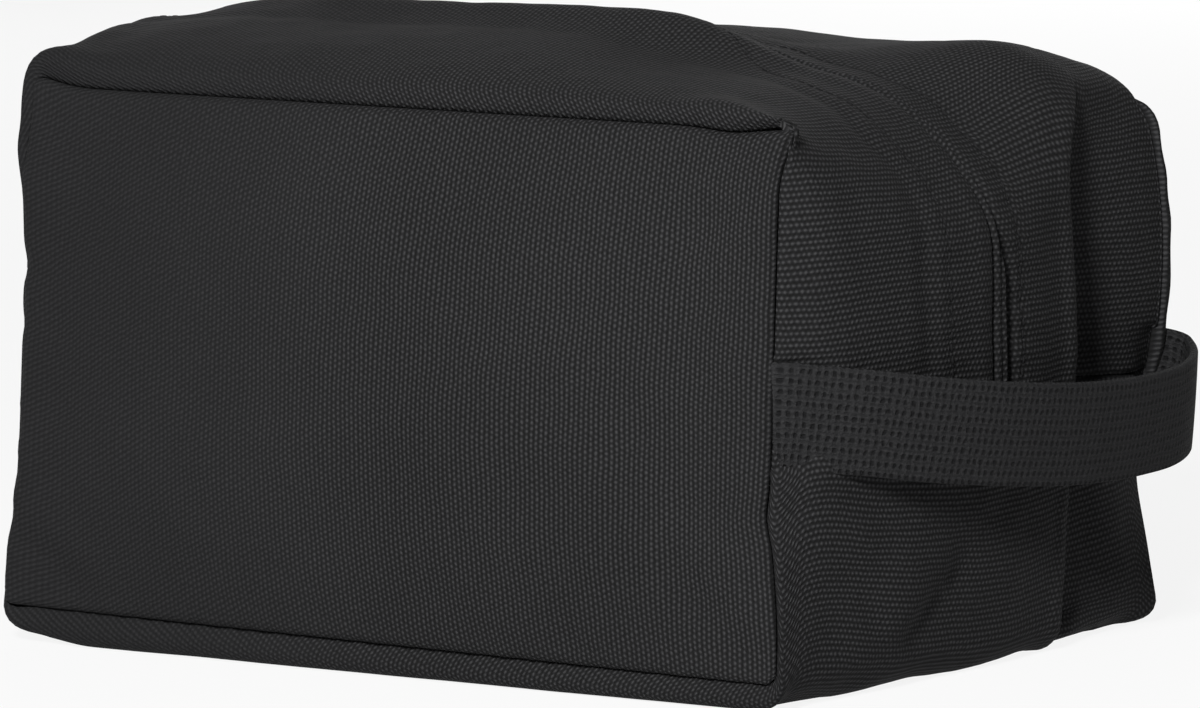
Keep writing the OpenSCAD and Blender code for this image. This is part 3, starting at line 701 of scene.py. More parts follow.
class SANDBAG_OT_stage(bpy.types.Operator):
    """Makes the camera, the lamps, the world and the floor"""
    bl_idname = "sandbag.stage"
    bl_label = "Stage"

    def execute(self, context):
        scene = context.scene
        distance, target, roll = 2.3, Vector((0.00817, 0, 0.069856)), math.radians(-1.992)
        back = direction(38.675, 7.31)
        right = (-back).cross(Vector((0, 0, 1))).normalized()
        up = right.cross(-back)
        turned = right * math.cos(roll) + up * math.sin(roll)
        upright = -right * math.sin(roll) + up * math.cos(roll)
        camera = bpy.data.objects.new("camera", bpy.data.cameras.new("camera"))
        camera.data.sensor_width = 36
        camera.data.lens = 282.2
        camera.data.clip_start, camera.data.clip_end = 0.05, 30
        pose = Matrix((turned, upright, back)).transposed().to_4x4()
        camera.matrix_world = Matrix.Translation(target + back * distance) @ pose
        scene.collection.objects.link(camera)
        scene.camera = camera

        def lamp(name, azimuth, elevation, distance, size, power):
            way = direction(azimuth, elevation)
            light = bpy.data.lights.new(name, "AREA")
            light.shape, light.size, light.energy = "DISK", size, power
            holder = bpy.data.objects.new(name, light)
            holder.location = Vector((0, 0, 0.07)) + way * distance
            holder.rotation_euler = way.to_track_quat("Z", "Y").to_euler()
            scene.collection.objects.link(holder)

        lamp("key softbox", 26, 28, 1.6, 0.3, 27)
        lamp("front fill", 8, 2, 1.9, 1.0, 2.2)
        lamp("back fill", 205, 12, 1.8, 1.0, 6)

        world = bpy.data.worlds.new("studio")
        world.use_nodes = True
        scene.world = world
        tree = world.node_tree
        tree.nodes.clear()
        path = add_node(tree, "ShaderNodeLightPath")
        seen = maths(tree, "MAXIMUM", path.outputs["Is Camera Ray"], path.outputs["Is Transmission Ray"])
        seen = maths(tree, "MAXIMUM", seen, path.outputs["Is Glossy Ray"])
        power = remap(tree, seen, i3=0.09, i4=1.0)
        sky = add_node(tree, "ShaderNodeBackground", links={"Strength": power}, Color=(1, 1, 1, 1))
        add_node(tree, "ShaderNodeOutputWorld", links={0: sky.outputs[0]})

        bm = bmesh.new()
        bmesh.ops.create_grid(bm, x_segments=2, y_segments=2, size=6)
        floor = object_from("floor", bm)
        paint, tree, shader = new_material("paper backdrop, white")
        path = add_node(tree, "ShaderNodeLightPath")
        tone = remap(tree, path.outputs["Is Camera Ray"], i3=0.75, i4=0.9)
        tree.links.new(tone, shader.inputs["Base Color"])
        set_gloss(shader, 0.95, 0.0)
        glow = add_node(tree, "ShaderNodeEmission", Strength=1.0)
        seen = maths(tree, "MAXIMUM", path.outputs["Is Camera Ray"], path.outputs["Is Glossy Ray"])
        share = maths(tree, "MULTIPLY", seen, 0.88)
        mixed = add_node(tree, "ShaderNodeMixShader",
                         links={0: share, 1: shader.outputs[0], 2: glow.outputs[0]})
        tree.links.new(mixed.outputs[0], tree.nodes["Material Output"].inputs[0])
        floor.data.materials.append(paint)
        scene.view_settings.view_transform = "Standard"
        return {"FINISHED"}


# ---------------------------------------------------------------- panels

def panel_axis(half, step):
    """Stations from -half to half, close together near both ends."""
    last = half - SEAM_DISTANCES[-1] - step
    inner = spaced(-last, last, step) + [last]
    return np.array([-half + d for d in SEAM_DISTANCES] + inner + [half - d for d in reversed(SEAM_DISTANCES)])


def build_panel(name, side):
    """One large panel: it swells, and its edges roll into the seams."""
    s = settings()
    top = FRONT_SEAM if side < 0 else BACK_SEAM
    middle, half = (SEAM_LIFT + top) / 2, (top - SEAM_LIFT) / 2
    x, h = np.meshgrid(panel_axis(HALF_WIDTH, 2.4), panel_axis(half, 2.4))
    flat_x, flat_h = x.copy(), h.copy()
    corner = np.where(h > 0, SEAM_CORNER if side < 0 else BACK_CORNER, SEAM_CORNER)
    dx = np.clip((np.abs(x) - (HALF_WIDTH - corner)) / corner, 0, 1)
    dh = np.clip((np.abs(h) - (half - corner)) / corner, 0, 1)
    x = np.where(dx * dh > 0, np.sign(x) * (HALF_WIDTH - corner + corner * dx * np.sqrt(1 - dh * dh / 2)), x)
    h = np.where(dx * dh > 0, np.sign(h) * (half - corner + corner * dh * np.sqrt(1 - dx * dx / 2)), h)
    z = middle + h
    dome = (1 - np.abs(x / HALF_WIDTH) ** 2.5) * (1 - np.abs(h / half) ** 2.5)
    out = s.panel_swell * dome
    out = out + 0.5 * s.wrinkle_height * dome * ripple(x, z, 70, 11 if side < 0 else 12)
    out = out + 0.12 * s.wrinkle_height * ripple(x, z, 17, 13 if side < 0 else 14) * ease(dome * 5)
    v = np.full_like(x, float(side))
    shift_x, shift_z = seam_shift(x, z) if side < 0 else (0 * x, 0 * x)
    y = side * (HALF_DEPTH + out) + lean(v, z)
    points = np.stack([x * (1 + sway(v, z) / HALF_WIDTH) + shift_x, y, z + shift_z], -1)
    lines = FRONT_FOLDS if side < 0 else BACK_FOLDS
    n = normals(points)
    if (n[..., 1] * side).sum() < 0:
        n = -n
    points = points + n * (s.wrinkle_height * folds(points, lines))[..., None]
    depth = seam_depth(points) if side < 0 else np.full_like(x, BACK_SEAM_DEPTH)
    pucker = 1 + 0.16 * np.sin(2 * np.pi * (flat_x + 0.6 * flat_h) / 7.5 + 2 * ripple(flat_x, flat_h, 30, 5))
    rolls = []
    for way, sign in ((0, -1), (0, 1), (1, -1), (1, 1)):
        gap = (HALF_WIDTH - sign * flat_x) if way == 0 else (half - sign * flat_h)
        far = way == 0 and sign < 0 and side < 0
        full = depth if way == 0 else np.minimum(depth, 2.0 + 2.0 * (flat_x > 60))
        reach = (3.4 + 1.5 * np.maximum(full - 2.0, 0) * far) * pucker
        roll = groove(gap, reach)
        rolls.append(full * roll)
        push = (0.3 if far else 0.55) * np.clip(1 - gap / reach, 0, 1) ** 2 * np.minimum(full, 2.1)
        points[..., 2 if way else 0] -= sign * push
        # The cloth stands over its seam along the far end, and along both ends at the back
        if far:
            over = 2.4 * (1 - np.exp(-gap)) * hump(gap, 8)
            points[..., 0] -= over * ease((z - 8) / 12) * ease((122 - z) / 12)
        if side > 0 and way == 0:
            over = 4.3 * (1 - np.exp(-gap)) * hump(gap, 5) * ease((z - 48) / 20)
            points[..., 0] += sign * over * ease((1 - np.abs(h / half)) * 9)
    points[..., 1] -= side * sum(r ** 3 for r in rolls) ** (1 / 3)
    points = settled(points)
    uv = np.stack([flat_x * 1.01 + 300, flat_h * 1.02 + 300], -1)
    return fabric_grid(name, points, uv, material("canvas"), s.canvas_thickness)


# Soft folds, each one as folds() takes it: where it runs from and to, its width and its height
FRONT_FOLDS = [
    ((117, -72, 8), (84, -76, 34), 4.5, -0.9), ((116, -72, 16), (92, -78, 46), 3.5, 0.6),
    ((114, -72, 40), (88, -80, 52), 4.0, -0.6), ((-117, -77, 26), (-92, -80, 9), 4.0, -0.9),
    ((-116, -77, 34), (-80, -82, 12), 5.0, 0.6), ((116, -64, 128), (86, -72, 104), 5.0, -0.6),
    ((-116, -64, 130), (-84, -72, 108), 6.0, -0.5),
]
BACK_FOLDS = [
    ((114, 78, 8), (80, 84, 40), 5.0, -0.9), ((-114, 78, 8), (-82, 84, 36), 5.0, -0.8),
    ((108, 78, 124), (78, 84, 96), 6.0, -0.7), ((-108, 78, 124), (-80, 84, 100), 6.0, -0.7),
    ((40, 84, 10), (10, 88, 52), 7.0, -0.6),
]


class SANDBAG_OT_panels(bpy.types.Operator):
    """Makes the front and back panels"""
    bl_idname = "sandbag.panels"
    bl_label = "Panels"

    def execute(self, context):
        for name, side, node in (("front_panel_cloth", -1, "front_panel"), ("back_panel_cloth", 1, "back_panel")):
            piece = build_panel(name, side)
            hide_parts(node)
        return {"FINISHED"}


# ---------------------------------------------------------------- gusset

def lip_edges(x, z, side):
    """Where a lip's edge lies: wide along the slider's run, shut beyond it, and gaping a little at the near end."""
    past = np.where(x > 0, x - ZIP_NEAR_RUN, -x - ZIP_FAR_RUN)
    shut = LIP_OPEN + (LIP_SHUT - LIP_OPEN) * ease(past / 10)
    return shut + (3.2 if side > 0 else -1.5) * ease((108 - z) / 16) * (x > 90)


# How far from a strip's seam its lip's own rows start, and how those rows share out the cloth up to the edge
STRIP_REACH = 68.5
BESIDE_LINE = [1, 0.87, 0.74, 0.62, 0.5, 0.4, 0.31, 0.23, 0.16, 0.11, 0.075, 0.05, 0.025, 0]
BELOW_LINE = [0.95, 0.9, 0.85, 0.78, 0.68, 0.56, 0.44, 0.33, 0.23, 0.15, 0.09, 0.05, 0.02, 0]


def strip_rows(side):
    """Distances from the panel seam of a strip's rows, up to those of its lip."""
    if side < 0:
        return SEAM_DISTANCES + spaced(7.5, STRIP_REACH, 1.6)
    crest = HALF_DEPTH - RIDGE
    return SEAM_DISTANCES + spaced(7.5, crest - 16, 1.9) + spaced(crest - 16, crest - 3, 1.2) \
        + spaced(crest - 3, crest + 1, 0.32) + spaced(crest + 1, crest + 6, 0.8) \
        + spaced(crest + 6, STRIP_REACH, 1.5)


STRIP_FOLDS_FRONT = [
    ((113, -63, 140), (122, -48, 136), 4.0, 1.0), ((122, -48, 136), (127, -36, 120), 4.5, 1.1),
    ((117, -68, 134), (124, -54, 125), 3.2, -1.0), ((124, -54, 125), (127, -44, 112), 4.0, -0.8),
    ((104, -58, 141), (90, -42, 149), 4.5, -0.9), ((112, -60, 138), (108, -40, 146), 3.5, -0.6),
    ((120, -64, 118), (127, -46, 96), 4.0, 0.6), ((-118, -60, 130), (-126, -30, 118), 5.0, 0.8),
    ((-118, -60, 122), (-128, -36, 100), 4.0, -0.6),
]
STRIP_FOLDS_REAR = [
    ((112, 68, 122), (126, 44, 110), 5.0, -0.8), ((118, 72, 104), (128, 48, 96), 4.0, 0.6),
    ((100, 70, 134), (92, 40, 146), 6.0, -0.6), ((-112, 68, 122), (-124, 44, 110), 5.0, -0.7),
]


def crease_strength(u, is_upper):
    """The fold is full on the ends and dies away over the top and the base."""
    if is_upper:
        end = np.minimum(u, 5 - u)
        return 0.02 + 0.98 * np.clip((1.5 - end) / 1.5, 0, 1) ** 0.8 * ease((1.55 - end) / 0.3)
    near_base = np.abs(u - 2.5)
    return 0.1 + 0.32 * ease((near_base - 0.9) / 0.6) + 0.58 * ease((near_base - 2.0) / 0.5)


def corner_bulge(edge, gap):
    """How far the cloth stands up beside the front seam at the bag's two top corners."""
    near = 1.3 * hump(edge[:, 0] - 100, 12) * ease((edge[:, 2] - 125) / 8)
    far = 2.7 * ease((-edge[:, 0] - 84) / 30) * ease((edge[:, 2] - 106) / 16)
    return (near + far)[None] * (1 - hump(gap, 2.6)) * hump(np.maximum(gap - 5, 0), 9)


def build_strip(name, side):
    """One half of the upper gusset, from its panel's seam to its lip at the zip, and its row of stitches."""
    s = settings()
    depths = [side * (HALF_DEPTH - gap) for gap in strip_rows(side)]
    places = [d / HALF_DEPTH for d in depths] + [side * 0.05] * (len(BESIDE_LINE) + len(BELOW_LINE))
    u, length = even_stations(upper, 1.7, places)
    middle = upper(u[-1], 0.0)
    shut = ease((np.abs(middle[:, 0]) - 58) / 16)
    end = ease((114 - middle[:, 2]) / 16) * (middle[:, 0] > 90)
    face = ease((134 - middle[:, 2]) / 12)
    lip = lip_edges(middle[:, 0], middle[:, 2], side)
    reach = HALF_DEPTH - STRIP_REACH
    shift = crease_shift(u[len(u) // 2]) * (side > 0)
    if side > 0:
        crest = HALF_DEPTH - RIDGE
        depths = [np.array([HALF_DEPTH - np.interp(HALF_DEPTH - d, [0, 7.5, crest - 3, crest + 1, STRIP_REACH],
                                                   [0, 7.5, crest - 3 - k, crest + 1 - k, STRIP_REACH])
                            for k in shift]) for d in depths]
    line = np.maximum(LIP_OPEN, lip + 1.2)
    y = np.array([d + 0 * lip for d in depths] + [side * (line + q * (reach - line)) for q in BESIDE_LINE]
                 + [side * (lip + q * (line - lip)) for q in BELOW_LINE])
    out = np.abs(y)
    edge = out - lip
    points = upper(u, y / HALF_DEPTH)
    base = points.copy()
    n = normals(points)
    if n[..., 2].mean() < 0:
        n = -n
    gap = HALF_DEPTH - out
    run = length[-1]
    # The fold behind the middle, the soft folds and the unevenness of the cloth
    height = crease(y - shift[None], crease_strength(u, True)) if side > 0 else np.zeros_like(y)
    height = height + s.wrinkle_height * folds(points, STRIP_FOLDS_FRONT if side < 0 else STRIP_FOLDS_REAR)
    full = ease(gap / 9)
    unevenness = 0.35 * ripple(length, y, 46, 21 + side) + 0.08 * ripple(length, y, 15, 31 + side)
    height = height + s.wrinkle_height * full * unevenness
    height = height + press(points, y / HALF_DEPTH)
    # Where the bag's top is fullest the near strip swells, and its stitches lie close to the lip
    crown = ease((84 - middle[:, 0]) / 36) * ease((middle[:, 0] + 118) / 26)
    row = 19.5 - 13.0 * crown if side < 0 else np.full_like(crown, 8.6)
    waver = 0.8 * ripple(run, 0 * run, 26, 41 + side)
    # The row of stitches sinks in and puckers the cloth beside it
    stitched = out - row[None] - waver[None]
    ends = ease(run / 14) * ease((run[-1] - run) / 14) * (0.2 + 0.8 * face)
    height = height - 0.4 * hump(stitched, 0.9)
    pull = np.sin(2 * np.pi * length / (9.5 if side < 0 else 6.5) + 2.2 * ripple(length, y, 40, 51 + side))
    height = height + s.wrinkle_height * (0.2 if side < 0 else 0.34) * pull * hump(stitched, 5.0) * ends[None]
    # The lips' own shapes: a valley and a raised rim on the near strip, a dip along the far one
    if side < 0:
        share = 0.35 + 0.65 * ease((middle[:, 0] - 70) / 30)
        height = height - 0.95 * hump(out - 27.5 - 1.5 * waver[None], 3.6) * share[None]
        height = height + 0.8 * shut[None] * hump(out - 7.5, 3.4) + 0.6 * (1 - shut)[None] * hump(out - 13, 5)
        height = height - 2.3 * ((0.15 + 0.85 * face) * shut)[None] * hump(out - line[None], 0.55)
        plump = 4.1 + 1.9 * hump(middle[:, 0] - 40, 17) - 1.3 * hump(middle[:, 0] + 104, 16)
        height = height + (plump * crown)[None] * hump(out - 9, 10)
        height = height + 0.5 * shut[None] * hump(out - 1.4, 1.1)
    else:
        height = height - 2.2 * crown[None] * ease((out - 14) / 9) * ease((62 - out) / 30)
        height = height - 1.7 * end[None] * hump(edge - 0.6, 2.2) + 0.35 * face[None] * hump(out - 15.5, 4)
    # The lip's edge rolls over
    roll = 1 - np.clip(edge / (1.2 + 1.0 * shut[None]), 0, 1)
    turn = (1.15 + 1.1 * shut) * (1 - 0.9 * hump(middle[:, 0] - 104, 9))
    height = height - turn[None] * (1 - np.sqrt(1 - roll * roll))
    points = points + n * height[..., None]
    base_edge = base[0]
    depth = seam_depth(base_edge) if side < 0 else np.full(u.shape[1], BACK_SEAM_DEPTH)
    if side < 0:
        points = points + n * corner_bulge(base_edge, gap)[..., None]
    points = edge_rows(points, side, gap, base_edge, depth)
    tuck = -n[-1] * (0.25 + 0.8 * shut + (2.5 * crown if side < 0 else 0))[:, None]
    points = np.concatenate([points, (points[-1] + tuck)[None]])
    points = settled(points)
    uv = arc_uv(points, length, 10.0)
    thread = stitch_row("stitches_front" if side < 0 else "stitches_rear", points, y, run, row + waver, side)
    return fabric_grid(name, points, uv, material("canvas"), s.canvas_thickness), thread


def stitch_row(name, points, y, length, row, side):
    """One small thread loop for each stitch, on the finished cloth."""
    s = settings()
    bm = bmesh.new()
    place = length[0] + 5.0
    cloth, depth = points[:len(y)][::-1], np.abs(y[::-1])
    line, beside = (np.array([sample(cloth[:, j], depth[:, j], row[j] + more) for j in range(len(length))])
                    for more in (0.0, 1.0))
    while place < length[-1] - 5.0:
        at = [Vector(sample(line, length, place + d)) for d in (-1, 0, 1)]
        ahead = (at[2] - at[0]).normalized()
        across = Vector(sample(beside, length, place)) - at[1]
        up = ahead.cross(across).normalized() * (-side)
        if up.z < 0 and abs(at[1].x) < 100 or up.x * at[1].x < 0 and abs(at[1].x) >= 100:
            up = -up
        across = up.cross(ahead)
        turn = Matrix((ahead, across, up)).transposed().to_4x4()
        size = Matrix.Diagonal((0.40 * s.stitch_length, 0.30, 0.26, 1))
        where = Matrix.Translation((at[1] + up * 0.12) * MM)
        bmesh.ops.create_uvsphere(bm, u_segments=6, v_segments=4, radius=MM, matrix=where @ turn @ size)
        place += s.stitch_length
    return piece_from(name, bm, material("thread"))


BASE_FOLDS = [
    ((119, -70, 3), (125, -42, 9), 5.0, 0.9), ((125, -42, 9), (128, -26, 26), 5.5, 1.0),
    ((128, -6, 29), (128, -17, 23), 5.0, -1.8), ((128, -17, 23), (127, -33, 10), 5.0, -2.4),
    ((127, -33, 10), (122, -54, 2), 4.5, -1.7), ((129, -26, 29), (127, -44, 18), 8.0, 1.9),
    ((124, -56, 51), (128, -30, 42), 4.5, -1.3), ((128, -30, 42), (128, -6, 31), 4.5, -1.6),
    ((126, 63, 8), (127, 61, 42), 6.5, 1.5),
    ((-119, -70, 4), (-125, -40, 24), 5.0, 0.8), ((-128, -20, 10), (-130, 10, 40), 8.0, 0.7),
]


def build_base():
    """The lower gusset: both ends below the cross seams, and the base that lies on the floor."""
    s = settings()
    gaps = SEAM_DISTANCES + spaced(7.5, HALF_DEPTH, 2.0)
    y = [-HALF_DEPTH + g for g in gaps] + spaced(0, RIDGE - 6, 2.0) + spaced(RIDGE - 6, RIDGE - 1, 0.8) \
        + spaced(RIDGE - 1, RIDGE + 3, 0.32) + spaced(RIDGE + 3, RIDGE + 16, 1.2) \
        + spaced(RIDGE + 16, HALF_DEPTH - 5.5, 1.9) + [HALF_DEPTH - g for g in reversed(SEAM_DISTANCES)]
    u, length = even_stations(lower, 1.8, [d / HALF_DEPTH for d in y])
    y = np.array(y)[:, None] + 0 * u
    points = lower(u, y / HALF_DEPTH)
    base = points.copy()
    n = normals(points)
    if (n[..., 2] * (points[..., 2] < 20)).sum() > 0:
        n = -n
    gap = HALF_DEPTH - np.abs(y)
    resting = ease((12 - base[..., 2]) / 10) * (np.abs(base[..., 0]) < 112)
    height = crease(y, crease_strength(u, False))
    height = height + s.wrinkle_height * folds(points, BASE_FOLDS)
    unevenness = 0.35 * ripple(length, y, 42, 61) + 0.1 * ripple(length, y, 14, 62)
    height = height + s.wrinkle_height * ease(gap / 9) * unevenness
    height = height * (1 - 0.85 * resting)
    height = height + press(points, y / HALF_DEPTH)
    height = height - 0.5 * hump(length, 1.6) - 0.5 * hump(length - length[:, -1:], 1.6)
    points = points + n * height[..., None]
    front = edge_rows(points, -1, np.where(y < 0, gap, 99), base[0], seam_depth(base[0]))
    points = edge_rows(front, 1, np.where(y > 0, gap, 99), base[-1], np.full(u.shape[1], BACK_SEAM_DEPTH))
    points = settled(points)
    points[..., 2] = np.maximum(points[..., 2], 0.05)
    uv = arc_uv(points, length, 10.0)
    return fabric_grid("base_gusset_cloth", points, uv, material("canvas"), s.canvas_thickness)


def moved_copy(name, node, move, material):
    """A merged copy of a hidden CAD node, with every point moved to follow the cloth."""
    bm = bmesh.new()
    bm.from_mesh(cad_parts[node].data)
    bmesh.ops.remove_doubles(bm, verts=bm.verts, dist=0.00002)
    for vert in bm.verts:
        vert.co = Vector(move(*(vert.co / MM))) * MM
    bmesh.ops.recalc_face_normals(bm, faces=bm.faces)
    return piece_from(name, bm, material, smooth=False)


def bound_seam(side):
    """Moves a seam's binding inwards with its seam."""
    def move(x, y, z):
        far = float(ease((-x - 80) / 30)) if side < 0 else 0.0
        z = PANEL_MIDDLE + (z - PANEL_MIDDLE) * 0.965
        return x * 0.965 - 1.5 * far, y - side * (2.8 + 3.8 * far), z + float(far_lift(x))
    return move


def build_cross_tape(name, sign):
    """The tape inside a cross seam, which follows the end wall through the fold."""
    centre = CROSS_RIGHT if sign > 0 else CROSS_LEFT
    y = np.array(spaced(-66, RIDGE - 2, 3.0) + spaced(RIDGE - 2, RIDGE + 2, 0.5) + spaced(RIDGE + 2, 66, 2.0))[None, :]
    z = centre + np.linspace(-4, 4, 7)[:, None]
    y, z = np.broadcast_arrays(y, z)
    wall = warped(sign * HALF_WIDTH + 0 * y, z, y / HALF_DEPTH)
    step = crease(y, 1.0 + 0 * y) + press(wall, y / HALF_DEPTH)
    wall[..., 0] += sign * (step - 2.6)
    points = settled(wall)
    return fabric_grid(name, points, np.stack([y, z], -1), material("binding"), 0.8)


class SANDBAG_OT_gusset(bpy.types.Operator):
    """Makes the two zip strips, the base gusset and the stitched rows"""
    bl_idname = "sandbag.gusset"
    bl_label = "Gusset"

    def execute(self, context):
        for name, side, node, rows in (("zip_strip_front_cloth", -1, "zip_strip_front", "lip_stitching_front"),
                                       ("zip_strip_rear_cloth", 1, "zip_strip_rear", "lip_stitching_rear")):
            piece, thread = build_strip(name, side)
            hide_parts(node)
            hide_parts(rows)
        piece = build_base()
        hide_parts("base_gusset")
        for word, side in (("front", -1), ("back", 1)):
            node = word + "_seam_binding"
            piece = moved_copy(node + "_tape", node, bound_seam(side), material("binding"))
            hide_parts(node)
        for word, sign in (("left", -1), ("right", 1)):
            piece = build_cross_tape("cross_seam_tape_" + word + "_woven", sign)
            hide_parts("cross_seam_tape_" + word)
        return {"FINISHED"}


# ---------------------------------------------------------------- handle

# The middle line of the handle's webbing, from the front seam round to the rear one
STRAP_PATH = [
    (110.4, -66.6, 69.0), (113.2, -67.0, 69.0), (115.8, -65.2, 68.8), (119.9, -60.4, 67.9), (128.8, -49.6, 65.9),
    (136.6, -34.8, 62.9), (142.4, -17.2, 60.0), (145.2, 2.0, 57.6), (145.7, 22.0, 56.0), (143.7, 42.0, 55.2),
    (139.8, 59.0, 55.4), (133.6, 72.0, 56.6), (127.0, 78.0, 58.4), (121.4, 77.6, 60.0), (117.0, 73.8, 60.6),
]


def smooth_path(points, step):
    """A smooth line through points, with even stations."""
    p = np.array(points, float)
    p = np.vstack([2 * p[0] - p[1], p, 2 * p[-1] - p[-2]])
    out = []
    for i in range(1, len(p) - 2):
        for t in np.linspace(0, 1, 24, endpoint=False):
            out.append(0.5 * (2 * p[i] + (p[i + 1] - p[i - 1]) * t
                              + (2 * p[i - 1] - 5 * p[i] + 4 * p[i + 1] - p[i + 2]) * t ** 2
                              + (-p[i - 1] + 3 * p[i] - 3 * p[i + 1] + p[i + 2]) * t ** 3))
    out.append(p[-2])
    out = np.array(out)
    run = distances(out)
    length = np.linspace(0, run[-1], int(run[-1] / step) + 1)
    return np.stack(sample(out, run, length), -1), length


def build_strap():
    """One webbing from seam to seam, with rounded edges and a little waver."""
    s = settings()
    centre, length = smooth_path(STRAP_PATH, 1.3)
    tangent = np.gradient(centre, axis=0)
    tangent /= np.linalg.norm(tangent, axis=1, keepdims=True)
    droop = math.radians(12) * np.sin(np.pi * length / length[-1]) ** 0.6
    up = np.stack([np.sin(droop), 0 * droop, np.cos(droop)], -1)
    up = up - tangent * (up * tangent).sum(1, keepdims=True)
    up /= np.linalg.norm(up, axis=1, keepdims=True)
    out = np.cross(tangent, up)
    if out[len(out) // 2][0] < 0:
        out = -out
    half, thick = s.strap_width / 2, s.strap_thickness / 2
    inner = half - thick * 0.8
    flat = np.linspace(-inner, inner, 17)
    turn = np.linspace(0, np.pi, 7)[1:-1]
    ring = [(w, thick) for w in flat]
    ring += [(inner + 0.8 * thick * math.sin(a), thick * math.cos(a)) for a in turn]
    ring += [(w, -thick) for w in reversed(flat)]
    ring += [(-inner - 0.8 * thick * math.sin(a), -thick * math.cos(a)) for a in turn]
    rows = []
    around = [0.0]
    for a, b in zip(ring, ring[1:]):
        around.append(around[-1] + math.dist(a, b))
    for i in range(len(centre)):
        cup = 0.5 * math.sin(math.pi * length[i] / length[-1])
        waver = 0.35 * math.sin(length[i] / 9.0 + 0.7) + 0.2 * math.sin(length[i] / 3.7)
        row = []
        for w, t in ring + ring[:1]:
            bend = t - cup * (w / half) ** 2 + 0.15 * waver * (w / half)
            row.append(centre[i] + up[i] * (w + 0.12 * waver) + out[i] * bend)
        rows.append(row)
    points = np.array(rows).transpose(1, 0, 2)
    across = np.array(around + [around[-1] + math.dist(ring[-1], ring[0])])
    uv = np.stack(np.broadcast_arrays(length[None, :], across[:, None]), -1)
    piece = fabric_grid("handle_webbing", points, uv, material("webbing"), 0, body=None, centre=(118, 0, 62))
    bm = bmesh.new()
    bm.from_mesh(piece.data)
    bmesh.ops.remove_doubles(bm, verts=bm.verts, dist=0.00001)
    bmesh.ops.holes_fill(bm, edges=[e for e in bm.edges if e.is_boundary])
    bmesh.ops.recalc_face_normals(bm, faces=bm.faces)
    bm.to_mesh(piece.data)
    bm.free()
    return piece


class SANDBAG_OT_handle(bpy.types.Operator):
    """Makes the webbing handle as one strap from seam to seam"""
    bl_idname = "sandbag.handle"
    bl_label = "Handle"

    def execute(self, context):
        piece = build_strap()
        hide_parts("handle_loop", "handle_end_front", "handle_end_rear")
        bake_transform(piece)
        return {"FINISHED"}


# ---------------------------------------------------------------- zip, inside and finishes

def zip_line(y, inset, step):
    """Points along the zip at a place y from its middle and a depth under the lips, and their normals."""
    u = even_stations(upper, step, [0.0])[0][0]
    middle = upper(u, 0.0)
    keep = (middle[:, 2] > ZIP_END_HEIGHT) | (np.abs(middle[:, 0]) < 90)
    u = u[keep]
    rows = upper(u[None, :], np.array([-4.0, 0.0, 4.0])[:, None] / HALF_DEPTH)
    n = normals(rows)[1]
    n = n if n[:, 2].mean() > 0 else -n
    line = upper(u, y / HALF_DEPTH) - n * inset
    return settled(line), n


# Places beside the zip's middle and depths under the lips: beside the coil first, then up under the lip
TAPE_ROWS = ((3.2, 3.5), (3.9, 3.5), (4.6, 3.48), (5.4, 3.4), (7.0, 2.9), (9.0, 2.3), (11.8, 1.75))
COIL_PITCH = 1.6


def build_tape(name, side):
    """One woven zip tape: flat beside the coil, then up under its lip."""
    points = np.array([zip_line(side * y, inset, 1.8)[0] for y, inset in TAPE_ROWS])
    return fabric_grid(name, points, arc_uv(points, distances(points[0])), material("zip_tape"), 0.5)


def build_coil(name, side):
    """One row of zip coil: a continuous spiral of nylon."""
    line, n = zip_line(side * 2.0, 3.7, 0.25)
    run = distances(line)
    spiral = []
    for at in np.linspace(0, run[-1], int(run[-1] / 0.25)):
        place, up = sample(line, run, at), sample(n, run, at)
        turn = 2 * math.pi * at / COIL_PITCH
        spiral.append((place[0] + 0.62 * math.sin(turn) * up[0],
                       place[1] + side * 0.82 * math.cos(turn), place[2] + 0.62 * math.sin(turn) * up[2]))
    bm = bmesh.new()
    tube(bm, spiral, 0.27, 5)
    return piece_from(name, bm, material("coil"))


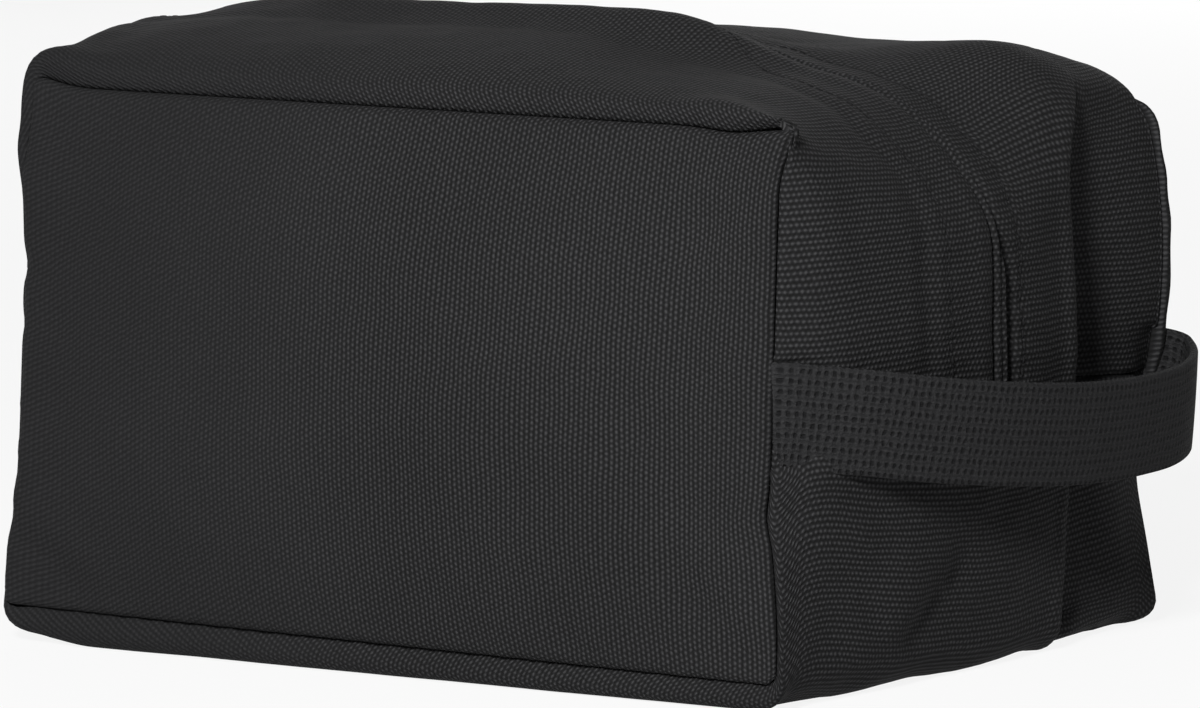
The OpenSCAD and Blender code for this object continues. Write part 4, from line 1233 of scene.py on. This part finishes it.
class SANDBAG_OT_zip(bpy.types.Operator):
    """Makes the zip tapes and the two rows of coil under the lips"""
    bl_idname = "sandbag.zip"
    bl_label = "Zip"

    def execute(self, context):
        for word, side in (("front", -1), ("rear", 1)):
            tape = build_tape("zip_tape_" + word + "_woven", side)
            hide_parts("zip_tape_" + word)
            coil = build_coil("zip_coil_" + word + "_spiral", side)
            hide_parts("zip_coil_" + word)
        return {"FINISHED"}


class SANDBAG_OT_finishes(bpy.types.Operator):
    """Gives the slider, its pull, the stops, the liner and the sand their finishes"""
    bl_idname = "sandbag.finishes"
    bl_label = "Finishes"

    def execute(self, context):
        for key, nodes in (
            ("enamel", ("zip_slider", "slider_pull", "zip_stop_left", "zip_stop_right")),
            ("film", ("liner_front", "liner_rear")),
            ("sand", ("sand_fill",)),
        ):
            for node in nodes:
                finish_node(node, material(key))
        return {"FINISHED"}


class SANDBAG_PT_panel(bpy.types.Panel):
    """Lists the sandbag's settings and its steps"""
    bl_label = "Sandbag"
    bl_idname = "SANDBAG_PT_panel"
    bl_space_type = "VIEW_3D"
    bl_region_type = "UI"
    bl_category = "Sandbag"

    def draw(self, context):
        for name in SandbagSettings.__annotations__:
            self.layout.prop(context.scene.sandbag, name)
        for step in STEPS:
            self.layout.operator(step.bl_idname)


STEPS = (SANDBAG_OT_stage, SANDBAG_OT_panels, SANDBAG_OT_gusset, SANDBAG_OT_handle, SANDBAG_OT_zip,
         SANDBAG_OT_finishes)
CLASSES = (SandbagSettings,) + STEPS + (SANDBAG_PT_panel,)


def register():
    for cls in CLASSES:
        bpy.utils.register_class(cls)
    bpy.types.Scene.sandbag = bpy.props.PointerProperty(type=SandbagSettings)


def unregister():
    del bpy.types.Scene.sandbag
    for cls in reversed(CLASSES):
        bpy.utils.unregister_class(cls)


def main():
    register()
    bpy.ops.sandbag.stage()
    bpy.ops.sandbag.panels()
    bpy.ops.sandbag.gusset()
    bpy.ops.sandbag.handle()
    bpy.ops.sandbag.zip()
    bpy.ops.sandbag.finishes()


if __name__ == "__main__":
    main()
